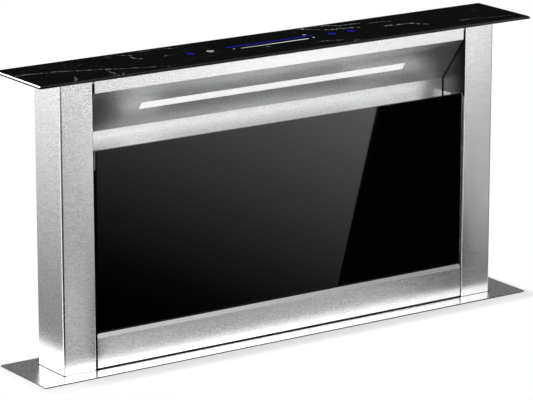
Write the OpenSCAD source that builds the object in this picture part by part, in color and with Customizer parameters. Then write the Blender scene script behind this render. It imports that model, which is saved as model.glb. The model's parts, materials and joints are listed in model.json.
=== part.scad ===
// Retractable downdraft extractor for a worktop, drawn with its riser up.
// Millimetres. The origin is the middle of the worktop's cut-out, on the worktop's top face.
// +X is to the right, -Y points at the cook and +Z is up.

/* [Cap and flange] */
// Width of the glass cap and of the worktop flange
cap_w = 880; // [800:1:1200]
// Depth of the glass cap and of the worktop flange
cap_d = 130; // [120:1:160]
// Overhang of the cap past each side of the riser
cap_over_w = 49.5; // [32:0.5:80]
// Overhang of the cap past the riser's front and back
cap_over_d = 29.5; // [20:0.5:34]
// Thickness of the cap glass
cap_t = 4; // [3:0.5:6]
// Corner radius of the cap and of the flange
plate_r = 2; // [1:0.5:6]
// Thickness of the flange's steel
flange_t = 1.5; // [1:0.1:3]
// Thickness of the gasket under the flange
gasket_t = 1; // [0.5:0.1:3]
// Thickness of the worktop that the clamps hold
worktop_t = 38; // [20:1:50]

/* [Riser] */
// Height of the cap's top above the flange with the riser up
rise_h = 442.5; // [436:0.5:443]
// Width of a pillar's front face
pillar_w = 55; // [50:1:60]
// Thickness of the riser's folded sheet
sheet_t = 1.2; // [0.8:0.1:1.4]
// Outer radius of the pillars' vertical bends
bend_r = 2; // [1.6:0.1:3]
// Length of the riser that stays below the worktop
tail_h = 110; // [108:1:112]
// Thickness of the riser's posts
post_t = 1.5; // [1:0.1:3]
// Depth of a post's flanges
post_w = 30; // [20:1:40]

/* [Recess and lamp] */
// Height of the fascia under the cap
fascia_h = 25.5; // [18:0.5:30]
// Depth of the air passage behind the back liner
passage_d = 16.5; // [10:0.5:20]
// Height of the fold between the ceiling and the liner, above the flange
fold_h = 343; // [336:1:352]
// Height of the back liner
liner_h = 55; // [50:1:56]
// Thickness of the ceiling's sheet
ceiling_t = 1; // [0.8:0.1:1.5]
// Gap at each end of the ceiling
ceiling_gap = 1.8; // [1:0.1:3]
// Gap at each end of the fascia
fascia_gap = 3; // [2:0.1:4]
// Length of the lamp's lens
lamp_l = 477; // [300:1:600]
// Width of the lamp's lens
lamp_w = 13.5; // [8:0.5:20]
// Length of the touch board
touch_l = 300; // [200:1:340]
// Width of the touch board
touch_w = 36; // [24:1:44]

/* [Front panel] */
// Height of the front glass's top edge above the flange
glass_top_h = 328; // [322:1:334]
// Thickness of the front glass
glass_t = 4; // [3:0.5:4.5]
// Distance of the front glass behind the pillars' front
glass_set = 3; // [2.5:0.1:3.5]
// Gap at each end of the front panel
panel_gap = 2.5; // [2:0.1:4]
// Gap between the rail and the flange
rail_lift = 1.2; // [1:0.1:2]
// Height of the bottom rail
rail_h = 53; // [45:1:60]
// Height of the rail's sloped lip
rail_lip_h = 7; // [4:0.5:10]
// Depth of the bottom rail
rail_d = 10; // [9:0.5:11]
// Diameter of the hinge pins
hinge_dia = 4; // [3:0.5:4.5]
// Width of the frame behind the glass
frame_w = 20; // [12:1:30]
// Depth of the frame behind the glass
frame_d = 5; // [3:0.5:5.5]

/* [Grease filters] */
// Number of filters side by side
filter_n = 3; // [2:1:4]
// Height of a filter
filter_h = 236; // [230:1:238]
// Thickness of a filter
filter_t = 8; // [6:0.5:8]

/* [Casing] */
// Thickness of the casing's sheet
case_t = 1.2; // [0.8:0.1:2]
// Depth of the casing's floor below the worktop
case_h = 590; // [588:1:620]
// Gap between the riser's front or back and the casing's
case_gap = 7.5; // [6:0.5:10]
// Gap between the riser's side and the casing's side
side_gap = 23.5; // [23:0.5:25]
// Depth of the sides' folded lips
lip_w = 12; // [10:1:14]
// Rows of casing screws
screw_rows = 4; // [2:1:6]

/* [Lift] */
// Diameter of the lift screws
lift_dia = 12; // [9:0.5:13]
// Diameter of the lift screws' journals
journal_dia = 8; // [5:0.5:8.5]
// Distance of the lift screws in front of the middle
lift_set = 20; // [18:0.5:22]
// Width of a guide rail
guide_w = 28; // [24:1:30]
// Distance of the guide rails behind the middle
guide_set = 19; // [17:0.5:21]
// Height of a carriage
carriage_h = 80; // [60:1:84]
// Diameter of the lift motor
lift_motor_dia = 34; // [28:1:34]
// Length of the lift motor
lift_motor_l = 90; // [70:1:110]

/* [Blower] */
// Width of the blower box
blower_w = 330; // [320:1:340]
// Height of the blower box
blower_h = 330; // [325:1:345]
// Depth of the blower box
blower_d = 165; // [160:1:180]
// Thickness of the blower box's sheet
blower_t = 1; // [0.8:0.1:1.5]
// Diameter of the fan wheel
wheel_dia = 210; // [190:1:220]
// Width of the fan wheel
wheel_w = 98; // [80:1:100]
// Number of blades on the fan wheel
blade_n = 28; // [12:1:40]
// Inner diameter of the inlet ring
inlet_dia = 164; // [140:1:166]
// Outer diameter of the duct collar
duct_dia = 150; // [120:1:150]
// Length of the duct collar below the box
duct_l = 53; // [50:1:80]

/* [Control box] */
// Width of the control box
control_w = 180; // [140:1:180]
// Height of the control box
control_h = 180; // [150:1:200]
// Depth of the control box
control_d = 40; // [36:1:60]
// Diameter of the hole for the mains lead
lead_dia = 8.4; // [6:0.1:10]

/* [Hidden] */
$fn = 64;

// Clearances
seat = 0.3;          // between pieces that are assembled against each other
frame_fit = 0.2;     // between the front panel's own pieces
stack_gap = 0.5;     // end to end, along a lift screw or a flap's pin
filter_gap = 1;      // between filters
slide_fit = 0.3;     // of the carriages in their rails
shaft_fit = 0.05;    // radial, of turning shafts in their bores
press_fit = 0.02;    // radial, of hubs fixed on their shafts
nut_fit = 0.1;       // radial, of the nuts on the lift screws
screw_fit = 0.15;    // radial, of fixing screws in their holes
mouth_gap = 1.5;     // between the riser and the flange's opening
through = 1;         // by which a cutting shape passes a face

// Levels above the worktop
flange_top = gasket_t + flange_t;
cap_top = flange_top + rise_h;
cap_under = cap_top - cap_t;
tray_t = 1.5;
post_top = cap_under - tray_t;
cover_top = cap_under - seat;
cover_foot = -8;

// Plan of the riser
riser_w = cap_w - 2 * cap_over_w;
riser_d = cap_d - 2 * cap_over_d;
front = -riser_d / 2;
back = riser_d / 2;
side = riser_w / 2;
opening_w = riser_w - 2 * pillar_w;
post_side = side - sheet_t - seat;
post_front = front + sheet_t + seat;
post_back = back - sheet_t - seat;

// Recess
fascia_foot = cap_under - fascia_h;
inner_w = opening_w - 2 * seat;
ceiling_w = opening_w - 2 * ceiling_gap;
fascia_w = opening_w - 2 * fascia_gap;
liner_y = back - passage_d;
fold_z = flange_top + fold_h;
liner_foot = fold_z - liner_h;
slope_start = [post_front, fascia_foot];
slope_run = liner_y - slope_start[0];
slope_drop = slope_start[1] - fold_z;
slope_a = atan2(slope_drop, slope_run);
slope_l = norm([slope_run, slope_drop]);
lens_flange = 4;
lens_back = 2.2;

// Front panel
panel_w = opening_w - 2 * panel_gap;
rail_foot = flange_top + rail_lift;
rail_top = rail_foot + rail_h;
glass_y = front + glass_set;
glass_back = glass_y + glass_t;
glass_top = flange_top + glass_top_h;
hinge_in = 5;        // hinge axis behind the front
hinge_up = 14;       // hinge axis above the rail's foot
hinge_y = front + hinge_in;
hinge_z = rail_foot + hinge_up;
cap_end_h = 23;      // height of the rail's end caps
cap_end_l = 10;      // length of the rail's end caps
glass_foot = rail_foot + sheet_t + cap_end_h + seat;
frame_foot = rail_foot + 31;
frame_top = glass_top - 4;
clip_t = 0.8;
clip_h = 28;

// Filters
filter_w = (inner_w - (filter_n + 1) * filter_gap) / filter_n;
support_z = flange_top + 57.5;
foot_gap = 7.3;      // from the front panel's frame to the filters' feet
filter_y = glass_back + frame_d + foot_gap;
filter_reach = liner_y - seat - frame_fit - filter_y;
filter_lean = asin(filter_reach / norm([filter_h, filter_t])) - atan2(filter_t, filter_h);
filter_z = support_z + sheet_t + seat + filter_t * sin(filter_lean);

// Casing
case_d = riser_d + 2 * case_gap;
case_in = side + side_gap;
case_side = case_in + case_t;
case_front = -case_d / 2;
case_face = case_front - case_t;
case_top = gasket_t;
floor_z = -case_h + case_t;

// Lift
screw_x = side + side_gap / 2;
screw_y = -lift_set;
bearing_h = 10;
pulley_h = 10;
coupling_h = 14;
coupling_z = floor_z + stack_gap;
pulley_z = coupling_z + coupling_h + stack_gap;
bearing_z = pulley_z + pulley_h + stack_gap;
thread_foot = bearing_z + bearing_h + stack_gap;
top_bearing_z = -20;
thread_top = top_bearing_z - stack_gap;
pulley_r = 9.5;
rim_t = 1;
belt_t = 1.5;
belt_gap = 0.1;
motor_shaft_dia = 6;
motor_gear_l = 40;
motor_can_r = lift_motor_dia / 2 - 2;
guide_d = 10;
guide_t = 2;
guide_slot = 12;
guide_foot = floor_z + 5;
guide_top = cover_foot - 2;
carriage_z = -tail_h + 6;
nut_h = 20;

// Fixing screws
screw_r = 1.6;
head_r = 3.5;
head_h = 2.2;
screw_l = 8;
casing_screw_x = case_in - lip_w / 2;
casing_screw_z = [for (i = [0 : screw_rows - 1]) -40 - i * (case_h - 70) / (screw_rows - 1)];

// Blower
blower_foot = -case_h + 25;
blower_face = case_face - blower_d;
fan_x = -15;
fan_z = blower_foot + blower_h / 2 + 15;
scroll_in = 135;     // inner radius of the scroll
scroll_t = 2.5;
scroll_gap = 7.5;    // from the box's back and front to the scroll
outlet_w = 120;
scroll_back = case_face - scroll_gap;
scroll_front = blower_face + scroll_gap;
wheel_back = scroll_back - 11;
wheel_front = wheel_back - wheel_w;
wheel_t = 2;
blade_d = 17;
blade_t = 1.2;
hub_r = 12;
hub_l = 20;
fan_shaft_r = 4;
fan_motor_r = 45;
inlet_t = 2;
inlet_flange = 28;
cover_lip = 10;

// Duct collar and flaps
duct_x = fan_x + scroll_in - outlet_w / 2;
duct_y = case_face - blower_d / 2;
duct_wall = 1.5;
duct_flange = 7;
duct_stop = 2;       // height of the bead that stops the duct
duct_stop_l = 8;     // length of that bead
duct_foot = blower_foot - duct_l;
pin_r = 2;
knuckle_r = 3.6;
flap_z = blower_foot - 20;
flap_t = 1.5;
flap_rise = 2.5;     // of a flap's plate above its pin
flap_gap = 1.5;      // from a flap's rim to the collar
knuckle_l = 15;

// Control box
control_x = case_side - 20 - control_w;
control_z = -case_h + 160;
control_t = 2;
board_gap = 6;
board_t = 1.6;
gland_r = 8;
gland_x = control_x + 25;
gland_y = case_face - control_d / 2;
cable_r = 3;

// Clamps and brackets
clamp_t = 1.5;
clamp_reach = 23;
clamp_half = 15;
clamp_z = -worktop_t - 18;
clamp_hole_x = case_side + 13;
clamp_r = 3;
bracket_z = -case_h + 40;
bracket_h = 60;
bracket_l = 30;
bracket_hole_r = 3;
bracket_hole_gap = 30;

// Vector helpers for folded sheet
function unit(v) = v / norm(v);
function to_left(v) = [-v[1], v[0]];
function side_point(path, i, t) =
    let (
        last = len(path) - 1,
        before = to_left(unit(i == 0 ? path[1] - path[0] : path[i] - path[i - 1])),
        after = to_left(unit(i == last ? path[last] - path[last - 1] : path[i + 1] - path[i])),
        mitre = before + after
    )
    path[i] + mitre * (2 * t / (mitre * mitre));

// Points round a bend, from angle a0 to angle a1
function bend(centre, r, a0, a1, steps = 6) =
    [for (i = [0 : steps]) let (a = a0 + (a1 - a0) * i / steps) centre + r * [cos(a), sin(a)]];

// Section of folded sheet of thickness t, on the left of its path
module folded(path, t) {
    last = len(path) - 1;
    polygon(concat(path, [for (i = [last : -1 : 0]) side_point(path, i, t)]));
}

// A section drawn in Y and Z, run w wide across the middle
module across(w) {
    translate([-w / 2, 0, 0])
        rotate([90, 0, 90])
            linear_extrude(w)
                children();
}

// A box between two corners
module block(low, high) {
    translate(low)
        cube(high - low);
}

// A flat rectangle with round corners, centred on the origin
module round_rect(w, d, r) {
    square([w - 2 * r, d], center = true);
    square([w, d - 2 * r], center = true);
    for (x = [-1, 1], y = [-1, 1])
        translate([x * (w / 2 - r), y * (d / 2 - r)])
            circle(r);
}

// A cylinder along X, starting at p
module rod_x(p, r, l) {
    translate(p)
        rotate([0, 90, 0])
            cylinder(r = r, h = l);
}

// A cylinder along Y, starting at p
module rod_y(p, r, l) {
    translate(p)
        rotate([-90, 0, 0])
            cylinder(r = r, h = l);
}

// A pan-head screw along -Z with its head standing on the origin's plane
module fixing_screw() {
    cylinder(r = head_r, h = head_h);
    translate([0, 0, -screw_l])
        cylinder(r = screw_r, h = screw_l);
}

// Both sides of the appliance: the child is drawn on the right and mirrored
module both_sides() {
    children();
    mirror([1, 0, 0])
        children();
}

// Cap and its tray
module cap_glass() {
    color([0.03, 0.03, 0.04])
        translate([0, 0, cap_under])
            linear_extrude(cap_t)
                round_rect(cap_w, cap_d, plate_r);
}

module cap_tray() {
    tray_y = -post_front - seat;
    color([0.6, 0.6, 0.62])
        difference() {
            union() {
                block([-post_side, -tray_y, post_top], [post_side, tray_y, cap_under]);
                for (y = [-tray_y, tray_y - tray_t])
                    block([-opening_w / 2, y, post_top - 10], [opening_w / 2, y + tray_t, cap_under]);
            }
            block(
                [-touch_l / 2 - 5, -touch_w / 2 - 4, post_top - through],
                [touch_l / 2 + 5, touch_w / 2 + 4, cap_under + through]
            );
        }
}

module touch_board() {
    color([0.05, 0.25, 0.12]) {
        block([-touch_l / 2, -touch_w / 2, cap_under - board_t], [touch_l / 2, touch_w / 2, cap_under]);
        // Connector and driver chips on the underside
        for (x = [-touch_l / 2 + 10, 0, touch_l / 2 - 30])
            block([x, -8, cap_under - board_t - 4], [x + 20, 8, cap_under - board_t]);
    }
}

// Recess
module fascia() {
    color([0.72, 0.72, 0.74])
        block([-fascia_w / 2, front, fascia_foot], [fascia_w / 2, front + sheet_t, cover_top]);
}

// Places its child on the sloped ceiling: +Y runs down the slope and +Z goes behind it
module on_slope() {
    translate([0, slope_start[0], slope_start[1]])
        rotate([-slope_a, 0, 0])
            translate([0, slope_l / 2, 0])
                children();
}

module ceiling_panel() {
    color([0.62, 0.62, 0.64])
        difference() {
            across(ceiling_w)
                folded([
                    slope_start,
                    [liner_y, fold_z],
                    [liner_y, liner_foot],
                    [post_back - seat, liner_foot]
                ], ceiling_t);
            on_slope()
                cube([lamp_l + 2 * seat, lamp_w + 2 * seat, 4 * ceiling_t], center = true);
        }
}

module led_lens() {
    color([0.96, 0.97, 1])
        on_slope() {
            block([-lamp_l / 2, -lamp_w / 2, -0.4], [lamp_l / 2, lamp_w / 2, lens_back]);
            block(
                [-lamp_l / 2 - lens_flange, -lamp_w / 2 - lens_flange, ceiling_t],
                [lamp_l / 2 + lens_flange, lamp_w / 2 + lens_flange, lens_back]
            );
        }
}

module led_board() {
    color([0.9, 0.9, 0.88])
        on_slope()
            block(
                [-lamp_l / 2 - lens_flange, -lamp_w / 2 - lens_flange, lens_back],
                [lamp_l / 2 + lens_flange, lamp_w / 2 + lens_flange, lens_back + board_t]
            );
}

// Pillars
module pillar_cover() {
    inner = opening_w / 2;
    r = bend_r;
    color([0.75, 0.75, 0.77])
        difference() {
            translate([0, 0, cover_foot])
                linear_extrude(cover_top - cover_foot)
                    folded(concat(
                        [[-side, back]],
                        bend([-side + r, front + r], r, 180, 270),
                        bend([-inner - r, front + r], r, 270, 360),
                        [[-inner, liner_y + ceiling_t + seat]]
                    ), sheet_t);
            // The inner return stops under the cap's tray
            block(
                [-inner - 2 * sheet_t, post_front, post_top - seat],
                [-inner + through, liner_y + sheet_t + through, cap_under]
            );
            rod_x(
                [-inner - sheet_t - through, hinge_y, hinge_z],
                hinge_dia / 2 + shaft_fit,
                sheet_t + 2 * through
            );
        }
}

module pillar_cover_left() {
    pillar_cover();
}

module pillar_cover_right() {
    mirror([1, 0, 0])
        pillar_cover();
}

module riser_posts() {
    color([0.5, 0.5, 0.52])
        both_sides()
            translate([0, 0, -tail_h])
                linear_extrude(post_top + tail_h)
                    folded([
                        [post_side - post_w, post_front],
                        [post_side, post_front],
                        [post_side, post_back],
                        [post_side - post_w, post_back]
                    ], post_t);
}

module riser_back_panel() {
    color([0.66, 0.66, 0.68])
        block([-post_side, back - sheet_t, -tail_h], [post_side, back, post_top]);
}

module lower_front_panel() {
    color([0.6, 0.6, 0.62]) {
        block([-post_side, front, -tail_h], [post_side, front + sheet_t, cover_foot - seat]);
        block(
            [-inner_w / 2, front, cover_foot - seat],
            [inner_w / 2, front + sheet_t, flange_top - 1]
        );
    }
}

// Filters
module filter_support() {
    foot_front = filter_y - seat - sheet_t;
    foot_back = filter_y + filter_t + 2.5 + sheet_t;
    color([0.55, 0.55, 0.57])
        across(inner_w)
            folded([
                [foot_front, support_z + 10],
                [foot_front, support_z],
                [foot_back, support_z],
                [foot_back, support_z + 8]
            ], sheet_t);
}

// One grease filter, standing on its lower front edge
module grease_filter() {
    rim = 9;
    difference() {
        block([-filter_w / 2, 0, 0], [filter_w / 2, filter_t, filter_h]);
        for (y = [-through, filter_t - 2])
            block([-filter_w / 2 + rim, y, rim], [filter_w / 2 - rim, y + 2 + through, filter_h - rim]);
    }
    // Pull lug folded forward from the top rim
    block([-15, -1.5, filter_h - 6], [15, 0, filter_h]);
    block([-15, -6, filter_h - 1.2], [15, 0, filter_h]);
}

module grease_filters() {
    pitch = filter_w + filter_gap;
    color([0.7, 0.71, 0.72])
        for (i = [0 : filter_n - 1])
            translate([(i - (filter_n - 1) / 2) * pitch, filter_y, filter_z])
                rotate([-filter_lean, 0, 0])
                    grease_filter();
}

// Slides and nuts on the riser's tail
module carriages() {
    head = guide_w / 2 - guide_t - slide_fit;
    web = guide_slot / 2 - slide_fit;
    rail_in = case_in - guide_d;
    color([0.92, 0.92, 0.88])
        both_sides()
            translate([0, guide_set, carriage_z])
                linear_extrude(carriage_h) {
                    translate([post_side, -guide_w / 2])
                        square([4, guide_w]);
                    translate([post_side, -web])
                        square([case_in - guide_t - slide_fit - post_side, 2 * web]);
                    translate([rail_in + guide_t + slide_fit, -head])
                        square([guide_d - 2 * guide_t - 2 * slide_fit, 2 * head]);
                }
}

module screw_nuts() {
    color([0.75, 0.6, 0.3])
        both_sides()
            difference() {
                block(
                    [post_side, screw_y - 10.5, -tail_h],
                    [case_in - 2, screw_y + 10.5, -tail_h + nut_h]
                );
                translate([screw_x, screw_y, -tail_h - through])
                    cylinder(r = lift_dia / 2 + nut_fit, h = nut_h + 2 * through);
            }
}

module hinge_pins() {
    inner = opening_w / 2;
    color([0.7, 0.7, 0.7])
        both_sides() {
            rod_x([inner + sheet_t, hinge_y, hinge_z], hinge_dia / 2 + 0.8, 1.5);
            rod_x([inner - 12, hinge_y, hinge_z], hinge_dia / 2, 12 + sheet_t);
        }
}

module catch_magnets() {
    inner = opening_w / 2 - seat;
    y = glass_back + frame_d + 1 + seat;
    color([0.25, 0.25, 0.26])
        both_sides()
            block([inner - 9, y, frame_top - 26], [inner, y + 6, frame_top - 6]);
}

// Front panel
module front_glass() {
    color([0.02, 0.02, 0.025])
        block([-panel_w / 2, glass_y, glass_foot], [panel_w / 2, glass_back, glass_top]);
}

module glass_frame() {
    half = panel_w / 2 - 8;
    rear = glass_back + frame_d;
    clip_foot = glass_top - clip_h;
    clip_side = panel_w / 2 + clip_t + frame_fit;
    color([0.6, 0.6, 0.62]) {
        difference() {
            block([-half, glass_back, frame_foot], [half, rear, frame_top]);
            block(
                [-half + frame_w, glass_back - through, frame_foot + frame_w],
                [half - frame_w, rear + through, frame_top - frame_w]
            );
        }
        // Tabs that hold the glass at its upper corners
        both_sides() {
            block([half - 6, rear, clip_foot], [clip_side, rear + 1, glass_top]);
            block(
                [panel_w / 2 + frame_fit, glass_y - clip_t, clip_foot],
                [clip_side, rear + 1, glass_top]
            );
            block(
                [panel_w / 2 - 3, glass_y - clip_t, clip_foot],
                [clip_side, glass_y - frame_fit, glass_top]
            );
        }
    }
}

module bottom_rail() {
    lip_y = glass_y - frame_fit - sheet_t;
    color([0.78, 0.78, 0.8])
        across(panel_w)
            folded([
                [lip_y, rail_top],
                [front, rail_top - rail_lip_h],
                [front, rail_foot],
                [front + rail_d, rail_foot],
                [front + rail_d, rail_foot + 27]
            ], sheet_t);
}

module rail_end_caps() {
    near = front + sheet_t + frame_fit;
    far = front + rail_d - sheet_t - frame_fit;
    color([0.06, 0.06, 0.06])
        both_sides()
            difference() {
                block(
                    [panel_w / 2 - cap_end_l, near, rail_foot + sheet_t],
                    [panel_w / 2, far, rail_foot + sheet_t + cap_end_h]
                );
                rod_x(
                    [panel_w / 2 - cap_end_l - through, hinge_y, hinge_z],
                    hinge_dia / 2 + shaft_fit,
                    cap_end_l + 2 * through
                );
            }
}

// Flange and casing
module worktop_flange() {
    color([0.8, 0.8, 0.82])
        translate([0, 0, gasket_t])
            linear_extrude(flange_t)
                difference() {
                    round_rect(cap_w, cap_d, plate_r);
                    square([riser_w + 2 * mouth_gap, riser_d + 2 * mouth_gap], center = true);
                }
}

module flange_gasket() {
    color([0.1, 0.1, 0.1])
        linear_extrude(gasket_t)
            difference() {
                round_rect(cap_w - 4, cap_d - 4, plate_r);
                square([2 * case_side + 2 * seat, case_d + 2 * case_t + 2 * seat], center = true);
            }
}

// Holes for one column of casing screws, through the sheet at y
module casing_screw_holes(y) {
    for (x = [-casing_screw_x, casing_screw_x], z = casing_screw_z)
        rod_y([x, y - 5, z], screw_r + screw_fit, 10);
}

module casing_front() {
    color([0.66, 0.67, 0.68])
        difference() {
            block([-case_side, case_face, -case_h], [case_side, case_front, case_top]);
            rod_y([fan_x, case_face - through, fan_z], inlet_dia / 2 + inlet_t, case_t + 2 * through);
            casing_screw_holes(case_front);
        }
}

module casing_back() {
    color([0.66, 0.67, 0.68])
        difference() {
            block([-case_side, -case_front, -case_h], [case_side, -case_face, case_top]);
            casing_screw_holes(-case_front);
        }
}

module casing_side() {
    lip = case_in - lip_w + case_t;
    color([0.6, 0.61, 0.62])
        difference() {
            translate([0, 0, -case_h])
                linear_extrude(case_h + case_top)
                    folded([
                        [lip, case_front],
                        [case_side, case_front],
                        [case_side, -case_front],
                        [lip, -case_front]
                    ], case_t);
            casing_screw_holes(case_front);
            casing_screw_holes(-case_front);
        }
}

module casing_left() {
    mirror([1, 0, 0])
        casing_side();
}

module casing_right() {
    casing_side();
}

module casing_bottom() {
    rim = case_t + seat;
    color([0.6, 0.61, 0.62])
        difference() {
            block(
                [-case_in + seat, case_front + rim, -case_h],
                [case_in - seat, -case_front - rim, floor_z]
            );
            translate([screw_x, screw_y, -case_h - through])
                cylinder(r = motor_shaft_dia / 2 + 1, h = case_t + 2 * through);
        }
}

// Lift
module guide_rails() {
    length = guide_top - guide_foot;
    cavity = guide_w - 2 * guide_t;
    color([0.75, 0.76, 0.78])
        both_sides()
            translate([case_in - guide_d, guide_set, guide_foot])
                linear_extrude(length)
                    difference() {
                        translate([0, -guide_w / 2])
                            square([guide_d, guide_w]);
                        translate([guide_t, -cavity / 2])
                            square([guide_d - 2 * guide_t, cavity]);
                        translate([-through, -guide_slot / 2])
                            square([guide_t + 2 * through, guide_slot]);
                    }
}

module screw_bearings() {
    color([0.9, 0.9, 0.86])
        both_sides()
            for (z = [bearing_z, top_bearing_z])
                difference() {
                    block([side + 1, screw_y - 10, z], [case_in, screw_y + 10, z + bearing_h]);
                    translate([screw_x, screw_y, z - through])
                        cylinder(r = journal_dia / 2 + shaft_fit, h = bearing_h + 2 * through);
                }
}

// A lift screw whose lower journal ends at z
module lift_screw(z) {
    translate([screw_x, screw_y, z])
        cylinder(r = journal_dia / 2, h = top_bearing_z + bearing_h - stack_gap - z);
    translate([screw_x, screw_y, thread_foot])
        cylinder(r = lift_dia / 2, h = thread_top - thread_foot);
}

module lift_screw_left() {
    color([0.7, 0.7, 0.72])
        mirror([1, 0, 0])
            lift_screw(pulley_z - 1);
}

module lift_screw_right() {
    color([0.7, 0.7, 0.72])
        lift_screw(coupling_z + coupling_h / 2);
}

module pulley() {
    rim_r = pulley_r + belt_gap + belt_t;
    color([0.8, 0.8, 0.82])
        translate([screw_x, screw_y, pulley_z])
            difference() {
                union() {
                    cylinder(r = pulley_r, h = pulley_h);
                    for (z = [0, pulley_h - rim_t])
                        translate([0, 0, z])
                            cylinder(r = rim_r, h = rim_t);
                }
                translate([0, 0, -through])
                    cylinder(r = journal_dia / 2 + press_fit, h = pulley_h + 2 * through);
            }
}

module pulley_left() {
    mirror([1, 0, 0])
        pulley();
}

module pulley_right() {
    pulley();
}

// Plan of both pulleys' span with radius r
module belt_outline(r) {
    for (x = [-screw_x, screw_x])
        translate([x, screw_y])
            circle(r);
    translate([0, screw_y])
        square([2 * screw_x, 2 * r], center = true);
}

module drive_belt() {
    color([0.08, 0.08, 0.08])
        translate([0, 0, pulley_z + rim_t + belt_gap])
            linear_extrude(pulley_h - 2 * (rim_t + belt_gap))
                difference() {
                    belt_outline(pulley_r + belt_gap + belt_t);
                    belt_outline(pulley_r + belt_gap);
                }
}

module shaft_coupling() {
    shaft_r = motor_shaft_dia / 2;
    color([0.65, 0.65, 0.67])
        translate([screw_x, screw_y, 0]) {
            difference() {
                translate([0, 0, coupling_z])
                    cylinder(r = 8, h = coupling_h);
                translate([0, 0, coupling_z + coupling_h / 2])
                    cylinder(r = journal_dia / 2 + press_fit, h = coupling_h);
            }
            // The motor's output shaft, pressed into the coupling
            translate([0, 0, -case_h - 20])
                cylinder(r = shaft_r, h = case_h + 20 + coupling_z + 1);
        }
}

module lift_motor() {
    color([0.3, 0.3, 0.32])
        translate([screw_x, screw_y, -case_h])
            difference() {
                union() {
                    translate([0, 0, -motor_gear_l])
                        cylinder(r = lift_motor_dia / 2, h = motor_gear_l);
                    translate([0, 0, -lift_motor_l])
                        cylinder(r = motor_can_r, h = lift_motor_l);
                }
                translate([0, 0, -22])
                    cylinder(r = motor_shaft_dia / 2 + shaft_fit, h = 22 + through);
            }
}

module limit_switches() {
    color([0.12, 0.12, 0.13])
        for (z = [-70, thread_foot + 6])
            translate([-case_in, case_front + 3, z]) {
                cube([9, 7, 20]);
                // Roller lever
                translate([9, 2, 2])
                    cube([1.5, 3, 15]);
            }
}

// Blower
module blower_box() {
    half = blower_w / 2;
    top = blower_foot + blower_h;
    t = blower_t;
    color([0.62, 0.63, 0.64])
        difference() {
            block([-half, blower_face, blower_foot], [half, case_face, top]);
            block(
                [-half + t, blower_face - through, blower_foot + t],
                [half - t, case_face - t, top - t]
            );
            rod_y([fan_x, case_face - t - through, fan_z], inlet_dia / 2 + inlet_t, t + 2 * through);
            translate([duct_x, duct_y, blower_foot - through])
                cylinder(r = duct_dia / 2 + seat, h = t + 2 * through);
            cover_screw_holes();
        }
}

// Places of the four screws that hold the blower's cover
module at_cover_screws() {
    both_sides()
        for (z = [blower_foot + 60, blower_foot + blower_h - 60])
            translate([blower_w / 2 + seat + blower_t, blower_face + cover_lip / 2, z])
                rotate([0, 90, 0])
                    children();
}

module cover_screw_holes() {
    at_cover_screws()
        translate([0, 0, -screw_l])
            cylinder(r = screw_r + screw_fit, h = screw_l + through);
}

module blower_cover() {
    t = blower_t;
    wide = blower_w / 2 + seat;
    low = blower_foot - seat;
    high = blower_foot + blower_h + seat;
    color([0.66, 0.67, 0.68])
        difference() {
            block([-wide - t, blower_face - t, low - t], [wide + t, blower_face + cover_lip, high + t]);
            block([-wide, blower_face, low], [wide, blower_face + cover_lip + through, high]);
            translate([duct_x, duct_y, low - t - through])
                cylinder(r = duct_dia / 2 + duct_stop + seat, h = t + 2 * through);
            cover_screw_holes();
        }
}

// Outline of the scroll and its downward outlet, grown by g
module scroll_outline(g) {
    right = fan_x + scroll_in;
    circle_at = [fan_x, fan_z];
    translate(circle_at)
        circle(scroll_in + g);
    translate([right - outlet_w - g, blower_foot + blower_t + 2])
        square([outlet_w + 2 * g, fan_z - blower_foot - blower_t - 2]);
}

// Runs an outline drawn in X and Z from y0 back to y1
module upright(y0, y1) {
    translate([0, y1, 0])
        rotate([90, 0, 0])
            linear_extrude(y1 - y0)
                children();
}

module blower_scroll() {
    color([0.2, 0.2, 0.21])
        difference() {
            upright(scroll_front, scroll_back)
                scroll_outline(scroll_t);
            upright(scroll_front + scroll_t, scroll_back - scroll_t)
                scroll_outline(0);
            // Mouth of the outlet
            block(
                [fan_x + scroll_in - outlet_w, scroll_front + scroll_t, blower_foot],
                [fan_x + scroll_in, scroll_back - scroll_t, blower_foot + blower_t + 10]
            );
            rod_y(
                [fan_x, scroll_back - scroll_t - through, fan_z],
                inlet_dia / 2 + 8,
                scroll_t + 2 * through
            );
        }
}

module inlet_ring() {
    r = inlet_dia / 2;
    wall = case_face - blower_t;
    color([0.15, 0.15, 0.16])
        translate([fan_x, wall, fan_z])
            rotate([90, 0, 0])
                rotate_extrude() {
                    translate([r, 0])
                        square([inlet_t, wall - wheel_back + 3]);
                    translate([r, 0])
                        square([inlet_flange, inlet_t]);
                }
}

module fan_motor() {
    length = wheel_front - wheel_t - 3 - (scroll_front + scroll_t);
    color([0.35, 0.35, 0.37])
        difference() {
            union() {
                rod_y([fan_x, scroll_front + scroll_t, fan_z], fan_motor_r, length);
                rod_y([fan_x, scroll_front + scroll_t, fan_z], fan_motor_r + 10, 3);
            }
            rod_y([fan_x, scroll_front + scroll_t + 8, fan_z], fan_shaft_r + shaft_fit, length);
        }
}

module fan_shaft() {
    start = scroll_front + scroll_t + 9;
    color([0.7, 0.7, 0.7])
        rod_y([fan_x, start, fan_z], fan_shaft_r, wheel_front + hub_l - start);
}

// Places its child on the fan's axis, with +Z towards the inlet
module on_fan() {
    translate([fan_x, wheel_front, fan_z])
        rotate([-90, 0, 0])
            children();
}

// The wheel's back plate and hub
module fan_wheel() {
    color([0.25, 0.25, 0.27])
        on_fan()
            difference() {
                union() {
                    cylinder(r = wheel_dia / 2, h = wheel_t);
                    cylinder(r = hub_r, h = hub_l);
                }
                translate([0, 0, -through])
                    cylinder(r = fan_shaft_r + press_fit, h = hub_l + 2 * through);
            }
}

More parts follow.
